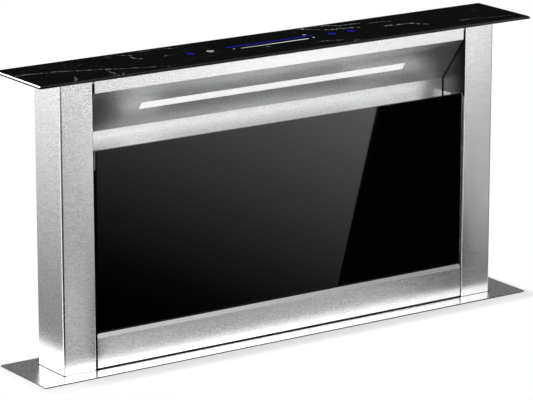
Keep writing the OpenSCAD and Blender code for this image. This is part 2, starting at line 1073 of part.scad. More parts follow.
// The ring of blades, and the rim that joins their ends
module fan_blades() {
    outer = wheel_dia / 2;
    inner = outer - blade_d;
    color([0.25, 0.25, 0.27])
        on_fan() {
            translate([0, 0, wheel_w - wheel_t])
                difference() {
                    cylinder(r = outer, h = wheel_t);
                    translate([0, 0, -through])
                        cylinder(r = inner, h = wheel_t + 2 * through);
                }
            for (i = [0 : blade_n - 1])
                rotate([0, 0, i * 360 / blade_n])
                    translate([inner + 1, 0, wheel_t])
                        rotate([0, 0, 25])
                            cube([blade_d - 2, blade_t, wheel_w - 1.5 * wheel_t]);
        }
}

// Duct collar and its flaps
module outlet_collar() {
    r = duct_dia / 2;
    color([0.14, 0.14, 0.15])
        translate([duct_x, duct_y, 0])
            difference() {
                union() {
                    translate([0, 0, duct_foot])
                        cylinder(r = r, h = duct_l + blower_t + 1);
                    translate([0, 0, blower_foot - duct_stop_l])
                        cylinder(r = r + duct_stop, h = duct_stop_l);
                    translate([0, 0, blower_foot + blower_t])
                        cylinder(r = r + duct_flange, h = 1.5);
                }
                translate([0, 0, duct_foot - through])
                    cylinder(r = r - duct_wall, h = duct_l + 10);
                rod_x([-r - through, 0, flap_z], pin_r + shaft_fit, duct_dia + 2 * through);
            }
}

module flap_pin() {
    color([0.7, 0.7, 0.7])
        rod_x([duct_x - duct_dia / 2 + seat, duct_y, flap_z], pin_r, duct_dia - 2 * seat);
}

// One half-round flap behind the pin; own and other are the starts of the two flaps' knuckles
module flap(own, other) {
    r = duct_dia / 2 - duct_wall - flap_gap;
    near = 0.6;
    notch = knuckle_r + 1;
    difference() {
        union() {
            intersection() {
                translate([0, 0, flap_rise])
                    cylinder(r = r, h = flap_t);
                block([-r, near, 0], [r, r, flap_rise + flap_t]);
            }
            for (x = own)
                rod_x([x, 0, 0], knuckle_r, knuckle_l);
        }
        for (x = other)
            block(
                [x - stack_gap, 0, flap_rise - through],
                [x + knuckle_l + stack_gap, notch, flap_rise + flap_t + through]
            );
        rod_x([-r, 0, 0], pin_r + shaft_fit, 2 * r);
    }
}

module flap_rear() {
    color([0.18, 0.18, 0.19])
        translate([duct_x, duct_y, flap_z])
            flap([-20, 30], [-45, 5]);
}

module flap_front() {
    color([0.18, 0.18, 0.19])
        translate([duct_x, duct_y, flap_z])
            mirror([0, 1, 0])
                flap([-45, 5], [-20, 30]);
}

// Control box
module control_box() {
    t = control_t;
    color([0.22, 0.22, 0.23]) {
        difference() {
            block(
                [control_x, case_face - control_d, control_z],
                [control_x + control_w, case_face, control_z + control_h]
            );
            block(
                [control_x + t, case_face - control_d - through, control_z + t],
                [control_x + control_w - t, case_face - t, control_z + control_h - t]
            );
            translate([gland_x, gland_y, control_z - through])
                cylinder(r = gland_r + nut_fit, h = t + 2 * through);
        }
        // Pillars that carry the board
        for (x = [20, control_w - 20], z = [20, control_h - 20])
            rod_y([control_x + x, case_face - t - board_gap, control_z + z], 4, board_gap + 1);
    }
}

module control_box_lid() {
    face = case_face - control_d;
    color([0.26, 0.26, 0.27])
        block(
            [control_x, face - control_t, control_z],
            [control_x + control_w, face, control_z + control_h]
        );
}

module control_board() {
    y = case_face - control_t - board_gap;
    color([0.05, 0.3, 0.15]) {
        block(
            [control_x + 12, y - board_t, control_z + 12],
            [control_x + control_w - 12, y, control_z + control_h - 12]
        );
        // Transformer, capacitor, relays and terminal block
        block([control_x + 90, y - 24, control_z + 90], [control_x + 135, y, control_z + 140]);
        rod_y([control_x + 50, y - 22, control_z + 120], 11, 22);
        for (x = [85, 110, 135])
            block([control_x + x, y - 16, control_z + 40], [control_x + x + 15, y, control_z + 65]);
        block([control_x + 20, y - 14, control_z + 40], [control_x + 70, y, control_z + 56]);
    }
}

module cable_gland() {
    color([0.08, 0.08, 0.08])
        translate([gland_x, gland_y, control_z])
            difference() {
                union() {
                    translate([0, 0, -16])
                        cylinder(r = gland_r, h = 20);
                    translate([0, 0, -4])
                        cylinder(r = gland_r + 3, h = 4, $fn = 6);
                    translate([0, 0, -14])
                        cylinder(r = gland_r + 2, h = 9);
                }
                translate([0, 0, -16 - through])
                    cylinder(r = lead_dia / 2, h = 20 + 2 * through);
            }
}

module internal_cables() {
    // To the blower
    gap_start = blower_w / 2 + seat;
    // To the lift motor
    drop_x = control_x + control_w - 6;
    drop_y = case_face - control_d / 2;
    low = -case_h - lift_motor_l * 0.6;
    elbow = 12;
    reach = sqrt(pow(motor_can_r, 2) - pow(screw_x - drop_x - cable_r, 2));
    color([0.1, 0.1, 0.1]) {
        rod_x([gap_start, drop_y, control_z + 110], cable_r, control_x - seat - gap_start);
        translate([drop_x, drop_y, low + elbow])
            cylinder(r = cable_r, h = control_z - seat - low - elbow);
        translate([drop_x, drop_y + elbow, low + elbow])
            rotate([0, 90, 0])
                rotate([0, 0, -90])
                    rotate_extrude(angle = 90)
                        translate([elbow, 0])
                            circle(cable_r);
        rod_y([drop_x, drop_y + elbow, low], cable_r, screw_y - reach - seat - drop_y - elbow);
    }
}

// Clamps, brackets and fixing screws
module worktop_clamps() {
    color([0.7, 0.7, 0.68])
        both_sides()
            difference() {
                union() {
                    block(
                        [case_side, -clamp_half, clamp_z - 50],
                        [case_side + clamp_t, clamp_half, clamp_z]
                    );
                    block(
                        [case_side, -clamp_half, clamp_z - clamp_t],
                        [case_side + clamp_reach, clamp_half, clamp_z]
                    );
                }
                translate([clamp_hole_x, 0, clamp_z - 10])
                    cylinder(r = clamp_r + nut_fit, h = 20);
            }
}

module clamp_screws() {
    pad_h = 3;
    top = -worktop_t - seat;
    foot = clamp_z - 22;
    color([0.6, 0.6, 0.62])
        both_sides()
            translate([clamp_hole_x, 0, 0]) {
                translate([0, 0, foot])
                    cylinder(r = clamp_r, h = top - foot);
                translate([0, 0, top - pad_h])
                    cylinder(r = 8, h = pad_h);
                translate([0, 0, foot - 4])
                    cylinder(r = 5.5, h = 4, $fn = 6);
            }
}

module cabinet_brackets() {
    color([0.7, 0.7, 0.68])
        both_sides()
            difference() {
                union() {
                    block(
                        [case_side, -case_face - bracket_l, bracket_z],
                        [case_side + clamp_t, -case_face, bracket_z + bracket_h]
                    );
                    block(
                        [case_side, -case_face - clamp_t, bracket_z],
                        [case_side + clamp_reach, -case_face, bracket_z + bracket_h]
                    );
                }
                for (side_z = [-1, 1])
                    translate([0, 0, bracket_z + (bracket_h + side_z * bracket_hole_gap) / 2])
                        rod_y([clamp_hole_x, -case_face - 5, 0], bracket_hole_r, 10);
            }
}

module casing_screws() {
    color([0.75, 0.75, 0.75]) {
        for (x = [-casing_screw_x, casing_screw_x], z = casing_screw_z) {
            translate([x, case_face, z])
                rotate([90, 0, 0])
                    fixing_screw();
            translate([x, -case_face, z])
                rotate([-90, 0, 0])
                    fixing_screw();
        }
        at_cover_screws()
            fixing_screw();
    }
}

cap_glass();
cap_tray();
touch_board();
fascia();
ceiling_panel();
led_lens();
led_board();
pillar_cover_left();
pillar_cover_right();
riser_posts();
riser_back_panel();
lower_front_panel();
filter_support();
grease_filters();
carriages();
screw_nuts();
hinge_pins();
catch_magnets();
front_glass();
glass_frame();
bottom_rail();
rail_end_caps();
worktop_flange();
flange_gasket();
casing_front();
casing_back();
casing_left();
casing_right();
casing_bottom();
guide_rails();
screw_bearings();
drive_belt();
lift_motor();
limit_switches();
lift_screw_left();
pulley_left();
lift_screw_right();
pulley_right();
shaft_coupling();
blower_box();
blower_cover();
blower_scroll();
inlet_ring();
fan_motor();
fan_shaft();
fan_wheel();
fan_blades();
outlet_collar();
flap_pin();
flap_front();
flap_rear();
control_box();
control_box_lid();
control_board();
cable_gland();
internal_cables();
worktop_clamps();
clamp_screws();
cabinet_brackets();
casing_screws();
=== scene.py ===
# %% [markdown]
# A retractable downdraft extractor
#
# The appliance stands in a slot in a kitchen worktop. Its riser comes up when someone cooks and draws the
# steam down behind a black glass panel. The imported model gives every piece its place, and this lesson gives
# the pieces their looks: rounded sheet metal, glass with ground edges, brushed steel, printed controls.

import json
from math import asin, atan2, cos, degrees, hypot, radians, sin, tan

import bmesh
import bpy
from mathutils import Matrix, Vector

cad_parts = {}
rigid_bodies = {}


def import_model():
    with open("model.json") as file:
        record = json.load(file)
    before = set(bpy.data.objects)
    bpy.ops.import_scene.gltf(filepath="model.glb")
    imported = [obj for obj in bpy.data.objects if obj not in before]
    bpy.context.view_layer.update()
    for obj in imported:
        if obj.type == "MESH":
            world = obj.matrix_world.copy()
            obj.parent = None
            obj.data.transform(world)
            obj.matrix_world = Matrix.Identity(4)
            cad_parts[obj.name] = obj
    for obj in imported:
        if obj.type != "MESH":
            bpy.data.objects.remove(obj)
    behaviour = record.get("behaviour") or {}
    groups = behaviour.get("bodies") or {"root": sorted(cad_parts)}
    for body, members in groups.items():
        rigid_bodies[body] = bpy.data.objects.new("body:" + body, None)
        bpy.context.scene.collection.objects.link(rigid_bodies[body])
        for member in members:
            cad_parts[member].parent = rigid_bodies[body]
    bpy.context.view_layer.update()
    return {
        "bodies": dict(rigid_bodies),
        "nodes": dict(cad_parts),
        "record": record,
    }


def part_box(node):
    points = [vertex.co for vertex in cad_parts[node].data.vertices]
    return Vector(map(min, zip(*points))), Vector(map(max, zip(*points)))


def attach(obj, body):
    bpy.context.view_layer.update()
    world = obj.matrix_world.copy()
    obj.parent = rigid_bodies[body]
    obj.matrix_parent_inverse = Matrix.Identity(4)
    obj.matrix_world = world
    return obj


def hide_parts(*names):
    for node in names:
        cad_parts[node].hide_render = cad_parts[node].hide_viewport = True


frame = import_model()
print("nodes loaded:", len(frame["nodes"]))

# %% [markdown]
# The camera
#
# Where the lines of a photograph meet tells where its camera stood. This one stood about five metres away,
# to the left of the extractor and a metre above it, with a long lens, so the verticals stay almost upright.

# %% Camera
picture = bpy.context.scene
picture.view_settings.view_transform = "Standard"
lens = bpy.data.cameras.new("photo_camera")
lens.lens = 220.3
lens.sensor_width = 36
lens.clip_end = 60
camera = bpy.data.objects.new("photo_camera", lens)
camera.location = (-2.6963, -3.9237, 1.4541)
camera.rotation_euler = (radians(75.264), 0, radians(-34.389))
picture.collection.objects.link(camera)
picture.camera = camera
print("camera is", round(camera.location.length, 2), "m from the cut-out")

# %% [markdown]
# Shader sums as Python sums
#
# A finish is mostly arithmetic on coordinates and noise. Nodes can be wired one by one, but a formula is
# easier to read, so one small class wraps a socket: adding or multiplying two of them adds a Math node.

# %% Sockets that can be added and multiplied
class Signal:
    """A shader socket that takes part in Python sums."""

    def __init__(self, finish, socket):
        self.finish = finish
        self.socket = socket

    def maths(self, operation, first, second=0.0):
        values = {0: first, 1: second}
        return self.finish.node("Math", {"operation": operation}, values)

    def __add__(self, other):
        return self.maths("ADD", self, other)

    def __radd__(self, other):
        return self.maths("ADD", other, self)

    def __sub__(self, other):
        return self.maths("SUBTRACT", self, other)

    def __rsub__(self, other):
        return self.maths("SUBTRACT", other, self)

    def __mul__(self, other):
        return self.maths("MULTIPLY", self, other)

    def __rmul__(self, other):
        return self.maths("MULTIPLY", other, self)

    def __truediv__(self, other):
        return self.maths("DIVIDE", self, other)

    def __rtruediv__(self, other):
        return self.maths("DIVIDE", other, self)

    def __gt__(self, other):
        return self.maths("GREATER_THAN", self, other)

    def __lt__(self, other):
        return self.maths("LESS_THAN", self, other)

    def __abs__(self):
        return self.maths("ABSOLUTE", self)

    def least(self, other):
        return self.maths("MINIMUM", self, other)

    def most(self, other):
        return self.maths("MAXIMUM", self, other)

    def ramp(self, low, high, start=0.0, end=1.0):
        """Goes smoothly from start to end while this goes from low to high."""
        values = {0: self, 1: low, 2: high, 3: start, 4: end}
        return self.finish.node("MapRange", {"interpolation_type": "SMOOTHSTEP"}, values)


# %% [markdown]
# A finish
#
# Every finish is one node tree ending in a Principled shader. The class below keeps the few steps they
# share: reading coordinates, adding noise, mixing two colours, and writing the shader's own values.

# %% A node tree with a few named steps
class Finish:
    """A material, or the world, that is being built."""

    def __init__(self, name, owner=None):
        self.material = owner or bpy.data.materials.new(name)
        self.material.use_nodes = True
        self.tree = self.material.node_tree
        self.tree.nodes.clear()
        self.place = self.node("TexCoord", {}, {}, "Object")
        self.facing = self.node("TexCoord", {}, {}, "Normal")

    def node(self, kind, settings, values, output=0):
        """Adds a node, sets it, gives its sockets values or links, and returns one output."""
        node = self.tree.nodes.new("ShaderNode" + kind)
        for setting, value in settings.items():
            setattr(node, setting, value)
        for key, value in values.items():
            if isinstance(value, Signal):
                self.tree.links.new(value.socket, node.inputs[key])
            else:
                node.inputs[key].default_value = value
        return Signal(self, node.outputs[output]) if node.outputs else None

    def split(self, vector):
        """The three numbers of a vector."""
        return [self.node("SeparateXYZ", {}, {0: vector}, axis) for axis in "XYZ"]

    def join(self, x=0.0, y=0.0, z=0.0):
        return self.node("CombineXYZ", {}, {0: x, 1: y, 2: z})

    def noise(self, vector, scale, detail=2.0):
        """Smooth noise from 0 to 1. Scale is in waves for each metre."""
        return self.node("TexNoise", {}, {"Vector": vector, "Scale": scale, "Detail": detail})

    def cells(self, vector, scale, output="Color"):
        return self.node("TexVoronoi", {}, {"Vector": vector, "Scale": scale}, output)

    def colour(self, share, first, second):
        """A colour between the first and the second."""
        values = {0: share, 6: first, 7: second}
        return self.node("Mix", {"data_type": "RGBA"}, values, 2)

    def bump(self, height, depth):
        """A normal from a height of 0 to 1 that stands for a depth in metres."""
        return self.node("Bump", {}, {"Height": height, "Distance": depth, "Strength": 1.0})

    def shade(self, values):
        shader = self.node("BsdfPrincipled", {}, values)
        self.node("OutputMaterial", {}, {0: shader})
        return self.material


def grey(value, blue=0.0):
    return (value - blue, value, value + blue, 1.0)


print("finishes are written as sums")

# %% [markdown]
# Light
#
# A product photographer surrounds polished metal with white and places black cards where the metal should
# go dark. The world here is plain white to the camera and to reflections, and dimmer as a lamp, so that
# pale things keep their colour. Two soft lamps add direction to the light.

# %% World and lamps
WORLD_LIGHT = 0.62
world = bpy.data.worlds.new("studio")
picture.world = world
sky = Finish("studio", world)
seen = sky.node("LightPath", {}, {}, "Is Camera Ray")
seen = seen.most(sky.node("LightPath", {}, {}, "Is Glossy Ray"))
seen = seen.most(sky.node("LightPath", {}, {}, "Is Transmission Ray"))
white = seen * (1 - WORLD_LIGHT) + WORLD_LIGHT
glow = sky.node("Background", {}, {"Color": (1, 1, 1, 1), "Strength": white})
sky.node("OutputWorld", {}, {0: glow})


def soft_lamp(name, place, target, size, power):
    lamp = bpy.data.lights.new(name, "AREA")
    lamp.size = size
    lamp.energy = power
    holder = bpy.data.objects.new(name, lamp)
    holder.location = place
    aim = Vector(target) - Vector(place)
    holder.rotation_euler = aim.to_track_quat("-Z", "Y").to_euler()
    picture.collection.objects.link(holder)
    return holder


soft_lamp("key_lamp", (-1.9, -0.6, 2.6), (0, 0, 0.2), 1.5, 24)
soft_lamp("back_lamp", (-1.1, 2.07, 1.86), (0, 0, 0.2), 0.5, 18)
print("lamps:", [light.name for light in bpy.data.lights])

# %% [markdown]
# Working by hand, in code
#
# The pieces are modelled as one would with the mouse: a primitive is added where it belongs, parts of it
# are selected, and an operator is used on them. The helpers below start a piece, select by place, and
# finish it.

# %% Start, select and finish
MM = 0.001


def clear():
    bpy.ops.object.select_all(action="DESELECT")


def hold(piece):
    """Makes a piece the only one that operators act on."""
    clear()
    piece.select_set(True)
    bpy.context.view_layer.objects.active = piece
    return piece


def settle(name):
    """Puts the new object's place, turn and size into its mesh."""
    bpy.ops.object.transform_apply(location=True, rotation=True, scale=True)
    piece = bpy.context.active_object
    piece.name = name
    piece.data.name = name
    return piece


def block(name, low, high):
    """A cube stretched between two corners, in millimetres."""
    low, high = Vector(low) * MM, Vector(high) * MM
    clear()
    bpy.ops.mesh.primitive_cube_add(size=1, location=(low + high) / 2, scale=high - low)
    return settle(name)


def select(piece, kind, test):
    """In edit mode, selects what a test on its middle, in millimetres, and its direction passes."""
    hold(piece)
    bpy.ops.object.mode_set(mode="EDIT")
    bpy.ops.mesh.select_mode(type=kind)
    bpy.ops.mesh.select_all(action="DESELECT")
    mesh = bmesh.from_edit_mesh(piece.data)
    chosen = 0
    if kind == "FACE":
        for face in mesh.faces:
            passed = test(face.calc_center_median() / MM, face.normal)
            face.select_set(passed)
            chosen += passed
    else:
        for edge in mesh.edges:
            first, last = (vert.co for vert in edge.verts)
            passed = test((first + last) / 2 / MM, (last - first).normalized())
            edge.select_set(passed)
            chosen += passed
    mesh.select_flush_mode()
    bmesh.update_edit_mesh(piece.data)
    return chosen


def leave():
    bpy.ops.object.mode_set(mode="OBJECT")


def round_edges(piece, radius, steps, test):
    """Bevels the edges that pass the test, by a radius in millimetres."""
    if select(piece, "EDGE", test):
        bpy.ops.mesh.bevel(offset=radius * MM, segments=steps, affect="EDGES", clamp_overlap=True)
    leave()
    return piece


def modify(piece, kind, **settings):
    """Adds a modifier, sets it and applies it."""
    hold(piece)
    bpy.ops.object.modifier_add(type=kind)
    modifier = piece.modifiers[-1]
    for setting, value in settings.items():
        setattr(modifier, setting, value)
    bpy.ops.object.modifier_apply(modifier=modifier.name)
    return piece


def soften(piece, radius=0.3, steps=2, angle=50):
    """Breaks every sharp edge, as deburring does."""
    limit = radians(angle)
    return modify(piece, "BEVEL", width=radius * MM, segments=steps, limit_method="ANGLE", angle_limit=limit)


def cut(piece, tool):
    """Cuts a tool's shape out of a piece and removes the tool."""
    modify(piece, "BOOLEAN", object=tool, operation="DIFFERENCE", solver="EXACT")
    bpy.data.objects.remove(tool)
    return piece


def combine(name, pieces):
    """Joins pieces into one object."""
    hold(pieces[0])
    for piece in pieces[1:]:
        piece.select_set(True)
    bpy.ops.object.join()
    return settle(name)


def smooth(piece, angle=35):
    """Shades bends and bevels smoothly and keeps the large faces between them flat."""
    hold(piece)
    bpy.ops.object.shade_smooth_by_angle(angle=radians(angle))
    return modify(piece, "WEIGHTED_NORMAL", weight=100, keep_sharp=True)


def outward(piece):
    """Merges doubles and turns every face outwards."""
    hold(piece)
    bpy.ops.object.mode_set(mode="EDIT")
    bpy.ops.mesh.select_all(action="SELECT")
    bpy.ops.mesh.remove_doubles(threshold=0.00001)
    bpy.ops.mesh.normals_make_consistent(inside=False)
    leave()
    return piece


def finished(piece, body, slot, material, *nodes):
    """Gives a piece its finish, its body and the node that it stands for."""
    piece.data.materials.clear()
    piece.data.materials.append(material)
    smooth(piece)
    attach(piece, body)
    if nodes:
        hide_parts(*nodes)
    print(piece.name, len(piece.data.polygons), "faces")
    return piece


def second_finish(piece, material, test):
    """Gives the faces that pass the test another finish."""
    piece.data.materials.append(material)
    select(piece, "FACE", test)
    piece.active_material_index = len(piece.data.materials) - 1
    bpy.ops.object.material_slot_assign()
    leave()


print("helpers are ready")

# %% [markdown]
# Folding sheet metal
#
# A press brake folds a flat strip along straight lines, and every fold gets a small outer radius. The same
# steps make the mesh: a strip, its edge extruded from fold to fold, the folds rounded, then a thickness.

# %% A folded sheet
ALONG_X = Matrix.Identity(4)
ALONG_Z = Matrix(((0, 1, 0, 0), (0, 0, 1, 0), (1, 0, 0, 0), (0, 0, 0, 1)))


def fold_sheet(name, path, run, thick, radii, turn=ALONG_X):
    """Folds a strip that runs between two places along a path. Thickness grows to the path's left."""
    (y0, z0), (y1, z1) = path[0], path[1]
    length = hypot(y1 - y0, z1 - z0)
    middle = Vector(((run[0] + run[1]) / 2, (y0 + y1) / 2, (z0 + z1) / 2)) * MM
    clear()
    bpy.ops.mesh.primitive_plane_add(size=1, location=middle, rotation=(atan2(z1 - z0, y1 - y0), 0, 0))
    bpy.context.active_object.scale = ((run[1] - run[0]) * MM, length * MM, 1)
    piece = settle(name)

    def at(y, z):
        spot = Vector((y, z))
        return lambda middle, way: abs(way.x) > 0.9 and (Vector(middle.yz) - spot).length < 0.02

    select(piece, "EDGE", at(y1, z1))
    for (ya, za), (yb, zb) in zip(path[1:], path[2:]):
        step = Vector((0, yb - ya, zb - za)) * MM
        bpy.ops.mesh.extrude_region_move(TRANSFORM_OT_translate={"value": step})
    leave()
    for index, radius in enumerate(radii, 1):
        before, here, after = (Vector(path[i]) for i in (index - 1, index, index + 1))
        bent = (here - before).angle(after - here)
        select(piece, "EDGE", at(*here))
        reach = radius * tan(bent / 2) * MM
        bpy.ops.mesh.bevel(offset=reach, segments=max(2, round(degrees(bent) / 12)), affect="EDGES")
        leave()
    modify(piece, "SOLIDIFY", thickness=thick * MM, offset=1, use_even_offset=True)
    piece.data.transform(turn)
    outward(piece)
    return soften(piece, min(0.15, thick / 5), 2)


print("sheets fold along", "X or Z")

# %% [markdown]
# Brushed steel
#
# The steel is ground with a belt, which leaves long fine scratches across the width. They show as streaks,
# a few millimetres of one shade, and as a soft gloss. Noise that is stretched along the scratches gives
# both. The scratches run along X, and on the sides of the pillars, whose faces look along X, they run along
# Y.
#
# A coarser belt cuts deeper and marks the steel more, so one depth sets both. The flange's cut edge is darker
# and duller than its face, partly as the dark oxide of a laser cut and partly as painted shade. Darker copies
# of the steel also paint shade on the clips and on the rail's lip. A slightly darker copy with shallower
# marks dims the fascia as painted shade, and a slightly paler one brightens the flange as painted light. Two
# finishes are for faces deep in the recess. Their colour is darkened by place as painted shade, on the
# pillars' returns and on the ceiling and liner, so they stay dark in any light.

# %% Brushed steel
FULL_MARK = 0.00002


def brushed_steel(name, shade, rough, depth, fade=None):
    """Steel ground to a depth in metres. A fade, where given, paints shade: it gives the share of its tone at
    each place, and the rest goes to near black.
    """
    steel = Finish(name)
    x, y, z = steel.split(steel.place)
    face_x, _, face_z = (abs(part) for part in steel.split(steel.facing))
    side = face_x > 0.75
    flat = face_z.least(1.0)
    along = x * (1 - side) + y * side
    across = z * (1 - flat) - y * flat
    scratch = steel.noise(steel.join(along * 60, across * 1300, side * 7), 1.0, 2.0)
    grain = steel.noise(steel.join(along * 230, across * 560, side * 5), 1.0, 3.0)
    streak = steel.noise(steel.join(along * 40, across * 160, side * 3), 1.0, 2.0)
    tone = scratch * 0.3 + grain * 0.55 + streak * 0.15
    mark = min(depth / FULL_MARK, 1.0)
    dark, pale = shade * (1 - 0.18 * mark), shade * (1 + 0.12 * mark)
    metal = steel.colour(tone.ramp(0.32, 0.68), grey(dark), grey(pale, 0.004))
    if fade:
        metal = steel.colour(fade(x, y, z), grey(0.004), metal)
    return steel.shade(
        {
            "Base Color": metal,
            "Metallic": 1.0,
            "Roughness": rough + (grain - 0.5) * 0.12,
            "Normal": steel.bump(scratch * 0.3 + grain * 0.7, depth),
        }
    )


STEEL = brushed_steel("brushed_steel", 0.86, 0.22, 0.00002)
# The fascia's copy has shallower marks and a slightly darker shade, which is painted shade.
DIMMED_FASCIA_STEEL = brushed_steel("dimmed_fascia_steel", 0.83, 0.22, 0.000006)
# Nearly black steel for the flange's cut edge: partly laser oxide, partly painted shade.
SHADED_FLANGE_EDGE = brushed_steel("shaded_flange_edge", 0.08, 0.45, 0.00001)
# A dark copy of the steel paints shade on the clips.
SHADED_CLIP_STEEL = brushed_steel("shaded_clip_steel", 0.2, 0.45, 0.00003)
# A much darker copy of the steel paints shade on the rail's lip.
SHADED_LIP_STEEL = brushed_steel("shaded_lip_steel", 0.2, 0.25, 0.00001)
# A slightly paler copy of the steel paints light on the flange.
BRIGHTENED_FLANGE_STEEL = brushed_steel("brightened_flange_steel", 0.88, 0.28, 0.00001)


GLASS_TOP = 0.325
CEILING_FOLD = 0.346


# Painted shade: above the glass's top the returns go almost black, darkest at the front; below it they keep
# their tone.
def painted_recess_shade(x, y, z):
    return y.ramp(-0.035, 0.02, 0.01, 0.24).most(z < GLASS_TOP)


# Painted shade: the ceiling darkens towards its left end, where the lamp's light falls off, and the liner
# below the fold is a little darker all over.
def painted_lamp_falloff(x, y, z):
    left_end = x.ramp(-0.325, -0.25, 0.28, 1.0) * x.ramp(-0.3, 0.0, 0.74, 1.0)
    liner = z < CEILING_FOLD
    return left_end.most(liner) * (1 - liner * 0.13)


SHADED_RETURN_STEEL = brushed_steel("shaded_return_steel", 0.86, 0.3, 0.00003, painted_recess_shade)
SHADED_CEILING_STEEL = brushed_steel("shaded_ceiling_steel", 0.86, 0.34, 0.00002, painted_lamp_falloff)
print("steel nodes:", len(STEEL.node_tree.nodes))

# %% [markdown]
# Black glass
#
# The cap and the front are toughened glass, printed black behind. Seen from above they are black with a
# clean reflection. A real pane is never quite flat, so a very faint, very long wave bends what it reflects.

# %% Front glass
def black_glass(name, tint, mirror):
    glass = Finish(name)
    wave = glass.noise(glass.place, 3.0, 1.0)
    dust = glass.noise(glass.place, 700.0, 2.0)
    return glass.shade(
        {
            "Base Color": glass.colour(dust, grey(tint), grey(tint * 1.6, tint * 0.1)),
            "Roughness": 0.02 + dust.ramp(0.55, 0.8) * 0.04,
            "Specular IOR Level": mirror,
            "Normal": glass.bump(wave, 0.0002),
        }
    )


GLASS = black_glass("front_glass", 0.0006, 0.3)
print("front glass is ready")

# %% [markdown]
# The cap's marbled print
#
# The print under the cap's glass imitates black marble: long white veins that fork, fade and wander. Each
# vein below is a run of points in millimetres on the cap, with its strength. The shader measures the
# distance from each stretch, and noise pushes the line aside and breaks it up, so that no stretch looks
# ruled.

# %% Veins
VEINS = [
    (0.50, [(-440, 18), (-371, 7), (-331, -8), (-276, -31), (-215, -51)]),
    (0.70, [(-240, 53), (-223, 42), (-231, 22), (-222, 12)]),
    (0.60, [(-307, -29), (-306, -50)]),
    (0.60, [(-318, -60), (-304, -63), (-295, -55)]),
    (0.45, [(-366, -36), (-372, -50), (-378, -64)]),
    (0.80, [(87, 57), (134, 57), (148, 45), (189, 41)]),
    (0.75, [(87, 57), (108, 40), (116, 30), (172, 17)]),
    (0.50, [(204, 33), (241, 27)]),
    (0.85, [(206, 4), (255, -3), (262, -12), (272, -27)]),
    (0.35, [(327, -30), (356, -27), (373, -36), (420, -43)]),
    (0.60, [(104, -62), (120, -55)]),
    (0.55, [(-27, -10), (-18, -26)]),
    (0.50, [(57, -33), (76, -37), (97, -45)]),
    (0.35, [(-200, 57), (-164, 56), (-138, 47)]),
    (0.35, [(-185, 10), (-164, 8)]),
]


def marbled_glass(name, tint, mirror):
    glass = Finish(name)
    push = glass.node("TexNoise", {}, {"Vector": glass.place, "Scale": 110.0, "Detail": 4.0}, "Color")
    push = glass.node("VectorMath", {"operation": "SUBTRACT"}, {0: push, 1: (0.5, 0.5, 0.5)})
    push = glass.node("VectorMath", {"operation": "SCALE"}, {0: push, "Scale": 0.014})
    spot = glass.node("VectorMath", {"operation": "ADD"}, {0: glass.place, 1: push})
    x, y, _ = glass.split(spot)
    veins = None
    for strength, points in VEINS:
        for (xa, ya), (xb, yb) in zip(points, points[1:]):
            long = (xb - xa) ** 2 + (yb - ya) ** 2
            dx, dy = x / MM - xa, y / MM - ya
            share = ((dx * (xb - xa) + dy * (yb - ya)) / long).most(0.0).least(1.0)
            off_x, off_y = dx - share * (xb - xa), dy - share * (yb - ya)
            far = off_x * off_x + off_y * off_y
            vein = far.ramp(0.0, 3.6, strength, 0.0)
            veins = veins.most(vein) if veins else vein
    broken = glass.noise(glass.place, 260.0, 3.0).ramp(0.40, 0.60, 0.06, 0.8)
    faint = abs(glass.noise(spot, 16.0, 3.0) - 0.5).ramp(0.0, 0.012, 0.05, 0.0)
    top = glass.split(glass.facing)[2] > 0.9
    mark = (veins * broken + faint * glass.noise(glass.place, 30.0).ramp(0.5, 0.7)) * top
    return glass.shade(
        {
            "Base Color": glass.colour(mark, grey(tint, tint * 0.1), grey(0.62, 0.01)),
            "Roughness": 0.05,
            "Specular IOR Level": mirror,
            "Normal": glass.bump(glass.noise(glass.place, 3.0, 1.0), 0.0002),
        }
    )


CAP_GLASS = marbled_glass("cap_glass", 0.0025, 0.3)
print("vein nodes:", len(CAP_GLASS.node_tree.nodes))

# %% [markdown]
# Plain metals and plastics
#
# The hidden pieces have everyday finishes. Galvanised sheet shows spangle, the crystals of its zinc.
# Moulded plastic has a fine spark-eroded texture. Ground and cast metals carry faint marks from how they
# were made.

# %% Metals and plastics
def galvanised(name):
    zinc = Finish(name)
    spangle = zinc.split(zinc.cells(zinc.place, 150.0))[0]
    small = zinc.split(zinc.cells(zinc.place, 420.0))[1]
    patch = zinc.noise(zinc.place, 14.0, 4.0)
    mix = spangle * 0.5 + small * 0.3 + patch * 0.2
    return zinc.shade(
        {
            "Base Color": zinc.colour(mix.ramp(0.2, 0.85), grey(0.52, 0.012), grey(0.66, 0.01)),
            "Metallic": 1.0,
            "Roughness": 0.34 + mix * 0.2,
            "Normal": zinc.bump(mix, 0.00005),
        }
    )


def turned_metal(name, dark, light, rough, waves=900.0):
    """Metal with the fine rings of a lathe or the lines of a die, across Z."""
    metal = Finish(name)
    x, y, z = metal.split(metal.place)
    ring = metal.noise(metal.join(x * 30, y * 30, z * waves), 1.0, 2.0)
    cloud = metal.noise(metal.place, 40.0, 3.0)
    return metal.shade(
        {
            "Base Color": metal.colour(ring * 0.6 + cloud * 0.4, dark, light),
            "Metallic": 1.0,
            "Roughness": rough + (ring - 0.5) * 0.15,
            "Normal": metal.bump(ring, 0.00003),
        }
    )


def moulded(name, dark, light, rough, grain=900.0, depth=0.00004):
    """Plastic, rubber or paint with a fine grain."""
    plastic = Finish(name)
    texture = plastic.noise(plastic.place, grain, 3.0)
    patch = plastic.noise(plastic.place, 25.0, 3.0)
    return plastic.shade(
        {
            "Base Color": plastic.colour(texture * 0.5 + patch * 0.5, dark, light),
            "Roughness": rough + (patch - 0.5) * 0.16,
            "Normal": plastic.bump(texture, depth),
        }
    )


